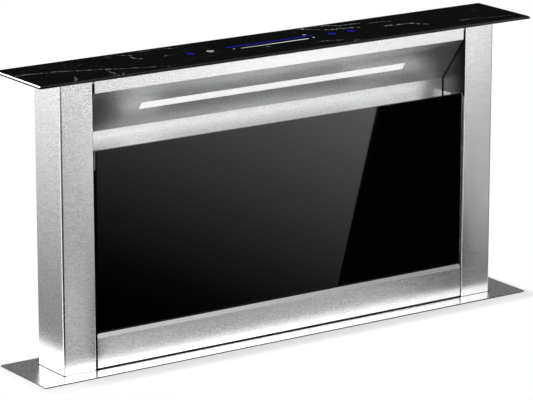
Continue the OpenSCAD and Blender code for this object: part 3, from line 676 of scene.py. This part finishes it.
ZINC = galvanised("galvanised_steel")
ALUMINIUM = turned_metal("aluminium", grey(0.66), grey(0.8, 0.01), 0.36)
FILTER_METAL = turned_metal("filter_aluminium", grey(0.62), grey(0.82, 0.01), 0.3, 200.0)
SHINY = turned_metal("polished_steel", grey(0.62), grey(0.78, 0.006), 0.2, 1400.0)
BRASS = turned_metal("brass", (0.60, 0.42, 0.16, 1), (0.80, 0.62, 0.30, 1), 0.26)
BLACK = moulded("black_plastic", grey(0.012), grey(0.03), 0.5)
DARK = moulded("dark_plastic", grey(0.045, 0.002), grey(0.085, 0.002), 0.46)
BEARING = moulded("bearing_plastic", (0.78, 0.77, 0.72, 1), (0.88, 0.87, 0.83, 1), 0.42)
RUBBER = moulded("rubber", grey(0.015), grey(0.035), 0.75, 500.0, 0.00008)
PAINT = moulded("motor_paint", grey(0.06, 0.003), grey(0.11, 0.003), 0.34, 260.0, 0.00006)
print("hidden finishes are ready")

# %% [markdown]
# Circuit boards and the lamp's lens
#
# A board is green solder mask over copper tracks, which show as slightly lighter, slightly raised lines.
# The lens is opal plastic in front of a row of diodes, so it glows evenly, a little less towards its rim.

# %% Boards and lens
def circuit_board(name):
    board = Finish(name)
    x, y, z = board.split(board.place)
    corner = board.cells(board.join(x, y, z), 120.0, "Distance")
    track = (corner - 0.45).ramp(-0.06, 0.06)
    grain = board.noise(board.place, 400.0)
    return board.shade(
        {
            "Base Color": board.colour(track, (0.012, 0.11, 0.045, 1), (0.05, 0.26, 0.11, 1)),
            "Roughness": 0.3 + grain * 0.2,
            "Normal": board.bump(track, 0.00004),
        }
    )


def opal(name, tone, strength):
    lamp = Finish(name)
    haze = lamp.noise(lamp.place, 60.0, 2.0)
    lit = lamp.colour(haze, grey(tone * 0.94), grey(tone))
    return lamp.shade(
        {
            "Base Color": lamp.colour(haze, grey(0.84), grey(0.88)),
            "Roughness": 0.3 + haze * 0.1,
            "Emission Color": lit,
            "Emission Strength": strength,
        }
    )


BOARD = circuit_board("circuit_board")
OPAL = opal("lamp_lens", 1.0, 0.45)
print("boards and lens are ready")

# %% [markdown]
# Finishes on the carried-over pieces
#
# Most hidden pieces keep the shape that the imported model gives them. The record says which slot each piece
# takes its finish from, so one loop is enough.

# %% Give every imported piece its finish
FINISHES = {
    "cap_glass": CAP_GLASS,
    "front_glass": GLASS,
    "brushed_steel": STEEL,
    "galvanised_steel": ZINC,
    "filter_aluminium": FILTER_METAL,
    "aluminium": ALUMINIUM,
    "polished_steel": SHINY,
    "brass": BRASS,
    "lamp_lens": OPAL,
    "circuit_board": BOARD,
    "black_plastic": BLACK,
    "dark_plastic": DARK,
    "bearing_plastic": BEARING,
    "rubber": RUBBER,
    "motor_paint": PAINT,
}
SLOTS = {part["node"]: part["material_slot"] for part in frame["record"]["subparts"]}
for name, node in frame["nodes"].items():
    node.data.materials.clear()
    node.data.materials.append(FINISHES[SLOTS[name]])
print("finished nodes:", len(SLOTS))

# %% [markdown]
# The cap
#
# The cap is a flat pane with round corners and ground edges. Its arris, the narrow bevel all round, shows at
# both ends as a bright line. That line is a painted highlight: there the bevel glows like the lamp's lens.
# The corners are bevelled first, then the top and bottom outlines.

# %% Cap
low, high = (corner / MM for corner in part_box("cap_glass"))
PRINT = 0.04
cap = block("cap", low, (high.x, high.y, high.z - PRINT))
round_edges(cap, 2.0, 6, lambda middle, way: abs(way.z) > 0.9)
round_edges(cap, 0.4, 2, lambda middle, way: abs(way.z) < 0.1 and middle.z < low.z + 1)
round_edges(cap, 1.3, 1, lambda middle, way: abs(way.z) < 0.1 and middle.z > high.z - 1)
finished(outward(cap), "riser", "cap_glass", CAP_GLASS, "cap_glass")
# Painted highlight: the arris at both ends glows.
ARRIS_HIGHLIGHT = opal("painted_arris_highlight", 1.0, 0.8)
second_finish(cap, ARRIS_HIGHLIGHT, lambda middle, way: abs(way.x) > 0.5 and 0.2 < way.z < 0.9)

# %% [markdown]
# The front glass
#
# The front pane is cut, ground and toughened. Its edges have a narrower, rounder arris in the glass's own
# finish.

# %% Front glass
low, high = (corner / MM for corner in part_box("front_glass"))
pane = block("front_pane", low, high)
round_edges(pane, 1.0, 3, lambda middle, way: abs(way.y) > 0.9)
round_edges(pane, 0.5, 2, lambda middle, way: abs(way.y) < 0.1)
finished(outward(pane), "front_panel", "front_glass", GLASS, "front_glass")

# %% [markdown]
# The frame behind the glass
#
# Glass can't be screwed, so it is bonded to a steel frame. The frame is cut from sheet with a shallow groove
# round its back, and a small clip holds the pane at each upper corner.

# %% Frame and clips
low, high = (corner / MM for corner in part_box("glass_frame"))
bottom, top = low.z, high.z - 4
half = 325
sheet = block("frame_sheet", (-half, -28.5, bottom), (half, -23.5, top))
cut(sheet, block("window", (-half + 20, -40, bottom + 20), (half - 20, -10, top - 20)))
groove = block("groove", (-half + 7, -24.5, bottom + 7), (half - 7, -20, top - 7))
cut(groove, block("land", (-half + 13, -40, bottom + 13), (half - 13, -10, top - 13)))
cut(sheet, groove)
parts = [soften(sheet, 0.3)]
CLIP_INNER, CLIP_OUTER, CLIP_LOW = 319, 334, 302.5
for hand in (-1, 1):
    side_x = hand * CLIP_OUTER
    outer = [(hand * CLIP_INNER, -23.5), (side_x, -23.5), (side_x, -33.3), (side_x - hand * 2, -33.3)]
    clip = fold_sheet("clip", outer, (CLIP_LOW, high.z), 0.8, [1.0, 1.0], ALONG_Z)
    parts.append(clip)
frame_piece = combine("glass_frame_sheet", parts)
finished(outward(frame_piece), "front_panel", "galvanised_steel", ZINC, "glass_frame")
# The clips' outer faces take the dark copy of the steel as painted shade.
second_finish(frame_piece, SHADED_CLIP_STEEL, lambda middle, way: abs(middle.x) > CLIP_OUTER - 3)

# %% [markdown]
# The bottom rail
#
# The rail is one strip folded into a channel. Its upper lip leans back against the glass, and its foot
# turns in under the panel. The folds face the cook, so they get a clear radius, and so do the lip's two
# corners.

# %% Bottom rail
low, high = (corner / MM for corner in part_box("bottom_rail"))
foot, front, rear = low.z, low.y, high.y
rail_path = [(front + 1.8, high.z), (front, high.z - 7), (front, foot), (rear, foot), (rear, foot + 27)]
rail = fold_sheet("rail", rail_path, (low.x, high.x), 1.2, [3.0, 1.8, 1.8])
CORNER = 3.5
for hand in (-1, 1):
    pivot_x, pivot_z = hand * (high.x - CORNER), high.z - CORNER
    ends = sorted((pivot_x, hand * (high.x + 1)))
    tool = block("corner", (ends[0], front - 5, pivot_z), (ends[1], front + 10, high.z + 1))
    clear()
    middle = Vector((pivot_x, front, pivot_z)) * MM
    turn = (radians(90), 0, 0)
    size = {"radius": CORNER * MM, "depth": 0.06, "vertices": 48}
    bpy.ops.mesh.primitive_cylinder_add(location=middle, rotation=turn, **size)
    cut(tool, settle("corner_round"))
    cut(rail, tool)
finished(rail, "front_panel", "brushed_steel", STEEL, "bottom_rail")
lip_low = high.z - 8


def on_lip(middle, way):
    return middle.z > lip_low and 0.1 < way.z < 0.9 and way.y < 0


# The lip takes the darker copy of the steel as painted shade.
second_finish(rail, SHADED_LIP_STEEL, on_lip)

# %% [markdown]
# The pillars
#
# Each pillar cover is a tall sheet folded twice. Its front corners have a radius of two millimetres, and a
# radius like that mirrors the whole room in one thin line, dark on one side and bright on the other.

# %% Pillar covers
low, high = (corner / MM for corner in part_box("pillar_cover_left"))
inner = high.x
post_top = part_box("riser_posts")[1].z / MM
RETURN_END = 20.3


def on_return(middle, way):
    return abs(middle.x) < 340 and way.x * middle.x < -100


for hand, name in ((1, "left"), (-1, "right")):
    path = [(low.x, high.y), (low.x, low.y), (inner, low.y), (inner, RETURN_END)]
    cover = fold_sheet("pillar_" + name, path, (low.z, high.z), 1.2, [3.0, 2.0], ALONG_Z)
    notch = block("notch", (inner - 2.4, low.y + 1.5, post_top - 0.3), (inner + 1, 25, high.z + 1))
    cut(cover, notch)
    if hand < 0:
        cover.data.transform(Matrix.Scale(-1, 4, (1, 0, 0)))
        outward(cover)
    finished(cover, "riser", "brushed_steel", STEEL, "pillar_cover_" + name)
    # The inner returns take the steel with painted shade.
    second_finish(cover, SHADED_RETURN_STEEL, on_return)

# %% [markdown]
# The fascia
#
# A flat strip closes the front between the pillars, just under the cap. Its lower edge is rounded, because
# hands reach past it to the lamp.

# %% Fascia
low, high = (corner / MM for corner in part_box("fascia"))
strip = block("fascia_strip", low, high)
round_edges(strip, 0.5, 3, lambda middle, way: abs(way.x) > 0.9 and middle.z < low.z + 1)
# The fascia takes the slightly darker copy of the steel as painted shade.
finished(soften(strip, 0.15), "riser", "brushed_steel", DIMMED_FASCIA_STEEL, "fascia")

# %% [markdown]
# The ceiling and its lamp
#
# Behind the fascia a sheet slopes down to the back, is folded at the air slot and runs down as the liner.
# The lamp's lens sits in a long slot in the middle of the slope.

# %% Ceiling panel and lens
low, high = (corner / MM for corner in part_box("ceiling_panel"))
SLOPE = [(-34.0, 415.5), (19.0, 345.5), (19.0, low.z), (34.0 - 0.3, low.z)]
slope_turn = atan2(SLOPE[1][1] - SLOPE[0][1], SLOPE[1][0] - SLOPE[0][0])
slope_middle = Vector((0, (SLOPE[0][0] + SLOPE[1][0]) / 2, (SLOPE[0][1] + SLOPE[1][1]) / 2))


def on_slope(piece):
    """Turns a piece made about the origin onto the middle of the slope."""
    hold(piece)
    piece.rotation_euler = (slope_turn, 0, 0)
    piece.location = slope_middle * MM
    return settle(piece.name)


ceiling = fold_sheet("ceiling", SLOPE, (low.x, high.x), 1.0, [2.0, 1.2])
cut(ceiling, on_slope(block("slot", (-238.8, -7.05, -3), (238.8, 7.05, 3))))
# The ceiling takes the steel with painted shade towards its left end and on the liner.
finished(ceiling, "riser", "brushed_steel", SHADED_CEILING_STEEL, "ceiling_panel")

bar = block("lamp_bar", (-238.5, -6.75, -0.4), (238.5, 6.75, 1.0))
round_edges(bar, 1.2, 4, lambda middle, way: abs(way.z) > 0.9)
round_edges(bar, 0.3, 2, lambda middle, way: middle.z < -0.3)
base = block("lamp_base", (-242.5, -10.75, 1.0), (242.5, 10.75, 2.2))
glowing = on_slope(combine("lamp_lens", [bar, soften(base, 0.2)]))
finished(glowing, "riser", "lamp_lens", OPAL, "led_lens")

# %% [markdown]
# The lamp's own light
#
# The opal lens looks white, but its light also has to fall on the steel round it. A long, narrow area lamp
# just in front of the lens gives that light with less grain than a glowing mesh. The other strips stand for
# the light that goes to and fro between the glass and the liner many times. The sloped ceiling mirrors two
# of them as soft glows beyond the ends of the lens. The camera sees none of the strips.

# %% Light inside the recess
def strip_lamp(name, place, aim, size, power):
    lamp = soft_lamp(name, place, Vector(place) + Vector(aim), size[0], power)
    lamp.data.shape = "RECTANGLE"
    lamp.data.size_y = size[1]
    lamp.visible_camera = False
    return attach(lamp, "riser")


slope_normal = Vector((0, sin(slope_turn), -cos(slope_turn)))
lens_front = slope_middle * MM + slope_normal * 0.002
strip_lamp("lamp_light", lens_front, slope_normal, (0.477, 0.0135), 0.22)
strip_lamp("slot_light", (0, -0.0215, 0.315), (0, 1, 0), (0.65, 0.034), 0.042)
strip_lamp("left_glow", (-0.195, -0.014, 0.302), (0, 0, 1), (0.07, 0.014), 0.0034)
strip_lamp("right_glow", (0.255, -0.014, 0.302), (0, 0, 1), (0.14, 0.014), 0.0042)
print("recess is lit")

# %% [markdown]
# The printed controls
#
# The controls are touch keys under the cap's glass. Only their marks show, printed on the glass and lit
# from behind: a blue bar for the fan's speed, white signs beside it and blue rings round the outer keys.

# %% Controls
def lit_print(name, dim, bright, strength):
    """Translucent ink with light behind it."""
    ink = Finish(name)
    grain = ink.noise(ink.place, 600.0, 2.0)
    tone = ink.colour(grain, dim, bright)
    lit = {"Base Color": tone, "Roughness": 0.3 + grain * 0.1, "Emission Color": tone}
    return ink.shade({**lit, "Emission Strength": strength, "Specular IOR Level": 0.05})


BLUE = lit_print("blue_print", (0.001, 0.0, 0.26, 1), (0.002, 0.0, 0.34, 1), 0.8)
WHITE = lit_print("white_print", grey(0.7), grey(0.9), 0.5)
print_low, print_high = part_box("cap_glass")[1].z / MM - PRINT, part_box("cap_glass")[1].z / MM - 0.005
print_thick = print_high - print_low


def dash(x, y, long, wide, turn=0):
    """A short bar of ink with its middle at x, y."""
    clear()
    middle = Vector((x, y, (print_low + print_high) / 2)) * MM
    bpy.ops.mesh.primitive_cube_add(size=MM, location=middle, rotation=(0, 0, radians(turn)))
    bpy.context.active_object.scale = (long, wide, print_thick)
    bar = settle("dash")
    return round_edges(bar, wide * 0.45, 3, lambda middle, way: abs(way.z) > 0.9)


def ring(x, y, radius, wide):
    clear()
    middle = Vector((x, y, (print_low + print_high) / 2)) * MM
    sizes = {"major_radius": radius * MM, "minor_radius": wide / 2 * MM}
    bpy.ops.mesh.primitive_torus_add(location=middle, major_segments=48, minor_segments=6, **sizes)
    bpy.context.active_object.scale.z = print_thick / wide
    return settle("ring")


speed_bar = dash(0, 7, 156, 2.4)
blue_marks = [speed_bar] + [ring(x, 1, 4.8, 2.2) for x in (-145, 110, 145)]
wedge = block("wedge", (-62, -9.6, print_low), (60, -7.0, print_high))
select(wedge, "FACE", lambda middle, way: way.x < -0.9)
bpy.ops.transform.resize(value=(1, 0.45, 1))
leave()
white_marks = [wedge, ring(-111, 0, 5.0, 0.8)]
FAN_KEY, BLADE = -111, 2.2
for angle in (0.3, 2.4, 4.5):
    blade_x, blade_y = FAN_KEY + BLADE * cos(angle), BLADE * sin(angle)
    white_marks.append(dash(blade_x, blade_y, 3.6, 1.5, degrees(angle) + 35))
for x, long, wide in ((-145, 1.2, 5.0), (110, 5.0, 1.2), (145, 5.0, 1.2), (145, 1.2, 5.0)):
    blue_marks.append(dash(x, 1, long, wide))
for x, long, wide in ((-73, 4.0, 1.0), (71, 4.0, 1.0), (71, 1.0, 4.0)):
    white_marks.append(dash(x, -6, long, wide))
white_marks.append(ring(70, 17.5, 2.2, 0.7))
finished(combine("blue_marks", blue_marks), "riser", "lamp_lens", BLUE)
finished(combine("white_marks", white_marks), "riser", "cap_glass", WHITE)

# %% [markdown]
# Grease filters
#
# Three cassettes stand behind the front panel. Each is a folded aluminium frame round a pack of knitted
# wire, with a woven wire face and a dark tab to pull it out by. The weave is made as on a loom: two sets of
# wires that go over and under each other.

# %% Filters
def woven(width, height, pitch, wire):
    """A woven wire sheet that faces along Y."""
    sets = []
    for crosswise in (False, True):
        along, across = (height, width) if crosswise else (width, height)
        for phase in (0, 1):
            curve = bpy.data.curves.new("wire", "CURVE")
            curve.dimensions = "3D"
            curve.bevel_depth = wire * MM
            curve.bevel_resolution = 0
            spline = curve.splines.new("POLY")
            spline.points.add(int(along / pitch))
            over = phase if crosswise else 1 - phase
            for index, point in enumerate(spline.points):
                u, v = index * pitch - along / 2, phase * pitch - across / 2
                lift = wire * (1 if (index + over) % 2 else -1)
                x, z = (v, u) if crosswise else (u, v)
                point.co = (x * MM, lift * MM, z * MM, 1)
            strand = bpy.data.objects.new("wire", curve)
            picture.collection.objects.link(strand)
            hold(strand)
            bpy.ops.object.convert(target="MESH")
            step = (2 * pitch * MM, 0, 0) if crosswise else (0, 0, 2 * pitch * MM)
            count = int(across / pitch / 2)
            plain = {"use_relative_offset": False, "use_constant_offset": True}
            modify(strand, "ARRAY", count=count, constant_offset_displace=step, **plain)
            sets.append(strand)
    return combine("woven", sets)


low, high = (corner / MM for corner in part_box("grease_filters"))
RIM, THICK, TALL = 9, 8, 236
TAB, TAB_HALF = 6, 15
lean = asin((high.y - low.y - THICK) / TALL)
pitch_x = (high.x - low.x + 1) / 3
half = pitch_x / 2 - 0.5
cassettes = []
for index in (-1, 0, 1):
    rim = block("rim", (-half, 0, 0), (half, THICK, TALL))
    cut(rim, block("window", (-half + RIM, -5, RIM), (half - RIM, THICK + 5, TALL - RIM)))
    pack = block("pack", (-half + RIM, 3.2, RIM), (half - RIM, 5.6, TALL - RIM))
    sheet = woven(2 * (half - RIM) + 4, TALL - 2 * RIM + 4, 5, 0.45)
    sheet.data.transform(Matrix.Translation(Vector((0, 1.9, TALL / 2)) * MM))
    tab_line = [(0, TALL - TAB), (0, TALL), (-TAB, TALL)]
    pull = fold_sheet("pull", tab_line, (-TAB_HALF, TAB_HALF), 1.2, [1.2])
    piece = combine("cassette", [soften(rim, 0.9, 3), pack, sheet, pull])
    foot = Vector((index * pitch_x, low.y, low.z + THICK * sin(lean))) * MM
    piece.data.transform(Matrix.Translation(foot) @ Matrix.Rotation(-lean, 4, "X"))
    cassettes.append(piece)
filters = combine("filters", cassettes)
finished(filters, "riser", "filter_aluminium", FILTER_METAL, "grease_filters")
tab_low, tab_front = high.z - TAB - 1, high.y - THICK - 0.3


def on_tab(middle, way):
    beside = (middle.x + 1.5 * pitch_x) % pitch_x - pitch_x / 2
    return abs(beside) < TAB_HALF + 0.2 and middle.z > tab_low and middle.y < tab_front


second_finish(filters, DARK, on_tab)

# %% [markdown]
# Screws
#
# The casing is held by pan-head screws with a cross recess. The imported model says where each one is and
# which way it points, so one screw is modelled and copies of it are turned into place.

# %% Casing screws
def body_of(node):
    """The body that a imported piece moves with."""
    holder = frame["nodes"][node].parent
    while holder not in frame["bodies"].values():
        holder = holder.parent
    return next(name for name, body in frame["bodies"].items() if body == holder)


def copied(node):
    """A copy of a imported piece's mesh, merged, with its flat faces made whole."""
    source = frame["nodes"][node]
    piece = bpy.data.objects.new(node + "_dressed", source.data.copy())
    piece.data.transform(source.matrix_world)
    picture.collection.objects.link(piece)
    outward(piece)
    bpy.ops.object.mode_set(mode="EDIT")
    bpy.ops.mesh.select_all(action="SELECT")
    bpy.ops.mesh.dissolve_limited(angle_limit=radians(1), delimit={"NORMAL"})
    leave()
    return piece


def solids(node):
    """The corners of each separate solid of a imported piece."""
    hold(copied(node))
    bpy.ops.mesh.separate(type="LOOSE")
    found = []
    for part in list(bpy.context.selected_objects):
        corners = [Vector(corner) / MM for corner in part.bound_box]
        found.append((corners[0], corners[6]))
        bpy.data.objects.remove(part)
    return found


def round_bar(name, radius, z0, z1, sides=32):
    clear()
    size = {"radius": radius * MM, "depth": (z1 - z0) * MM, "vertices": sides}
    bpy.ops.mesh.primitive_cylinder_add(location=(0, 0, (z0 + z1) / 2 * MM), **size)
    return settle(name)


def pan_screw(radius, tall, long):
    """A screw whose head stands on z = 0."""
    head = round_bar("head", radius, 0, tall, 28)
    round_edges(head, tall * 0.55, 3, lambda middle, way: middle.z > tall - 0.01)
    for wide, deep in ((radius * 0.6, 0.4), (0.4, radius * 0.6)):
        cut(head, block("recess", (-wide, -deep, tall * 0.35), (wide, deep, tall + 1)))
    return combine("screw", [head, round_bar("shank", radius * 0.45, -long, 0, 12)])


screws = []
for number, (start, end) in enumerate(solids("casing_screws")):
    span = end - start
    axis = max(range(3), key=lambda side: span[side])
    outer = 1 if (start + end)[axis] > 0 else -1
    point = (start + end) / 2
    point[axis] = (end if outer > 0 else start)[axis] - outer * 2.2
    way = Vector([outer if side == axis else 0 for side in range(3)])
    aim = way.to_track_quat("Z", "Y").to_matrix().to_4x4()
    screw = pan_screw(min(span) / 2, 2.2, max(span) - 2.2)
    spin = Matrix.Rotation(number * 0.7, 4, "Z")
    screw.data.transform(Matrix.Translation(point * MM) @ aim @ spin)
    screws.append(screw)
finished(combine("screws", screws), "casing", "polished_steel", SHINY, "casing_screws")

# %% [markdown]
# Deburred sheet metal
#
# Sheet metal leaves the press with sharp edges, which are then broken. A thin bright line along an edge is
# what tells the eye that a box is made of metal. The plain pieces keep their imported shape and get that
# line.

# %% Broken edges
BROKEN = {
    0.5: "casing_front casing_back casing_left casing_right casing_bottom blower_box blower_cover",
    0.4: "control_box control_box_lid worktop_clamps cabinet_brackets lower_front_panel filter_support",
    0.3: "cap_tray riser_back_panel lift_motor fan_motor outlet_collar catch_magnets clamp_screws",
}
for radius, nodes in BROKEN.items():
    for node in nodes.split():
        piece = soften(copied(node), radius, 2, 40)
        finished(piece, body_of(node), SLOTS[node], FINISHES[SLOTS[node]], node)

# %% [markdown]
# The worktop flange
#
# A flat steel frame covers the cut edge of the worktop. It is laser cut from sheet and deburred, so its
# outline has a small radius at the corners and a thin broken edge all round. Its cut edge is nearly black,
# partly as the dark oxide of a laser cut and partly as painted shade, and draws a line round the frame.

# %% Worktop flange
low, high = (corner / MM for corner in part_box("worktop_flange"))
flange = block("flange", low, high)
round_edges(flange, 2.0, 5, lambda middle, way: abs(way.z) > 0.9)
cut(flange, block("mouth", (-392, -37, 0), (392, 37, 5)))
# The flange takes the paler copy of the steel as painted light.
finished(soften(outward(flange), 0.15), "casing", "brushed_steel", BRIGHTENED_FLANGE_STEEL, "worktop_flange")
# The cut edge takes the nearly black steel: partly laser oxide, partly painted shade.
second_finish(flange, SHADED_FLANGE_EDGE, lambda middle, way: abs(way.z) < 0.5)

# %% [markdown]
# The worktop
#
# The worktop carries the appliance and takes its shadow. Close to the flange it is a pale matt surface. A
# little farther out it goes over to plain white, which is how a cut-out product picture looks. Metal and
# glass mirror it as white all over.

# %% Worktop
slab = block("worktop", (-750, -620, -38), (750, 200, -0.1))
cut(slab, block("cut_out", (-420, -50, -60), (420, 50, 20)))
clear()
pale = Finish("pale_worktop")
x, y, z = pale.split(pale.place)
beyond_x = (abs(x) - 0.44).most(0.0) * 2.5
beyond_y = (-0.065 - y).most((y - 0.065) * 3.0).most(0.0)
away = (beyond_x * beyond_x + beyond_y * beyond_y).ramp(0.0, 0.0014, 0.35, 1.0)
by_eye = pale.node("LightPath", {}, {}, "Is Camera Ray")
through = pale.node("LightPath", {}, {}, "Is Transmission Ray")
mirrored = pale.node("LightPath", {}, {}, "Is Glossy Ray")
shown_white = (by_eye.most(through) * away).most(mirrored)
matt = pale.node("BsdfDiffuse", {}, {"Color": grey(0.96)})
bright = pale.node("Emission", {}, {"Color": (1, 1, 1, 1), "Strength": 1.0})
ground = pale.node("MixShader", {}, {0: shown_white, 1: matt, 2: bright})
pale.node("OutputMaterial", {}, {0: ground})
slab.data.materials.append(pale.material)
EDGE_PAINT = moulded("worktop_edge", grey(0.42), grey(0.48), 0.5)
second_finish(slab, EDGE_PAINT, lambda middle, way: way.z < 0.5)
print("worktop is in place")

# %% [markdown]
# Cards that the metal mirrors
#
# Steel and glass look like what stands around them, so a studio is built for them from painted cards. A
# long card lies in front of the appliance. For this camera every point of it is mirrored at one point of
# the front glass, so its paint is worked out in the glass's own width and height: dark low down, lighter
# upwards and to the right, and black past one slanting edge. Beyond the glass the same card shades the
# rail, the pillars and the fascia. From elsewhere the paint falls in other places.
#
# Two more cards lie on the worktop, one for each side of the riser. They are darker close by, so the sides
# darken downwards, and the left one has a bright strip right beside the riser. Of the standing cards, two
# bright ones give the flange and the back something to mirror, and a dark one keeps the cap black.

# %% Cards
def card(name, place, turn, size, material):
    """A flat panel that only reflections see."""
    clear()
    bpy.ops.mesh.primitive_plane_add(size=1, location=place, rotation=turn)
    bpy.context.active_object.scale = (size[0], size[1], 1)
    panel = settle(name)
    panel.data.materials.append(material)
    panel.visible_camera = False
    panel.visible_diffuse = False
    panel.visible_shadow = False
    return panel


def glowing_paper(paper, strength):
    light = paper.node("Emission", {}, {"Color": (1, 1, 1, 1), "Strength": strength})
    paper.node("OutputMaterial", {}, {0: light})
    return paper.material


PANE_Y = -0.0325
PILLAR_EDGE = 0.345
mirror = camera.location.copy()
mirror.y = 2 * PANE_Y - mirror.y
front_paper = Finish("front_card")
x, y, z = front_paper.split(front_paper.place)
share = (mirror.y - PANE_Y) / (mirror.y - y)
pane_x = (x - mirror.x) * share + mirror.x
pane_z = (1 - share) * mirror.z
sheen = (pane_x * 1.85 + pane_z * 3.96 + 0.209).most(0.0)
behind_edge = pane_x > pane_z * 0.266 + 0.083
within = abs(pane_x) < PILLAR_EDGE
above = pane_z > 0.38
rail_zone = pane_z < 0.058
in_pane = sheen * sheen * (1 - behind_edge) * (1 - above)
rail_paint = pane_x.ramp(-0.32, -0.1, 0.52, 0.42) - pane_x.ramp(0.15, 0.33, 0.0, 0.26)
in_pane = rail_zone * rail_paint + (1 - rail_zone) * in_pane
left_side = (pane_z.ramp(0.03, 0.15, 0.46, 0.76) + pane_z.ramp(0.15, 0.45, 0.0, 0.22)) * (pane_x > -0.41)
right_side = (pane_z.ramp(0.03, 0.25, 0.2, 1.05) + pane_z.ramp(0.25, 0.45, 0.0, 0.7)) * (pane_x < 0.42)
paint = within * (pane_x > -0.3295) * in_pane
paint = paint + (pane_x < -PILLAR_EDGE) * left_side + (pane_x > PILLAR_EDGE) * right_side
fascia_paint = pane_x.ramp(-0.35, 0.1, 0.22, 0.28) + pane_x.ramp(0.1, 0.25, 0.0, 1.1)
paint = paint + above * within * fascia_paint
near = y > x.ramp(0.2, 0.42, -0.09, -0.076)
paint = near * 1.05 + (1 - near) * paint
card("front_card", (0.5, -1.2, 0.001), (0, 0, 0), (5.0, 2.26), glowing_paper(front_paper, paint))

RISER_SIDE = 0.39
left_paper = Finish("left_card")
x, y, z = left_paper.split(left_paper.place)
reach = -RISER_SIDE - x
sideways = y < reach * 0.6
close = reach < 0.065
paint = (sideways + close).least(1.0)
paint = paint * 1.5 + (1 - paint) * reach.ramp(0.0, 1.2, 0.22, 1.04)
card("left_card", (-1.195, 1.1, 0.001), (0, 0, 0), (1.6, 2.3), glowing_paper(left_paper, paint))

high_paper = Finish("high_card")
high_paint = high_paper.split(high_paper.place)[0].ramp(1.15, 2.0, 3.3, 1.2)
card("high_card", (1.5, -2.2, 0.75), (radians(90), 0, 0), (2.6, 1.3), glowing_paper(high_paper, high_paint))

right_paper = Finish("right_card")
right_reach = right_paper.split(right_paper.place)[0] - RISER_SIDE
right_paint = right_reach.ramp(0.0, 0.8, 0.2, 0.8)
card("right_card", (1.2, 0.9, 0.001), (0, 0, 0), (1.5, 1.9), glowing_paper(right_paper, right_paint))

shine = glowing_paper(Finish("side_high_card"), 2.2)
card("side_high_card", (-1.5, 1.75, 0.75), (radians(90), 0, radians(34)), (1.8, 1.3), shine)

back_paper = Finish("back_card")
back_paint = back_paper.split(back_paper.place)[2].ramp(0.6, 0.72, 0.15, 0.012)
dark = glowing_paper(back_paper, back_paint)
card("back_card", (1.0, 1.4, 0.75), (radians(90), 0, radians(-34)), (3.2, 1.3), dark)
print("cards are in place")

# %% [markdown]
# The end
#
# At the end nothing is left selected.

# %% Finish
clear()
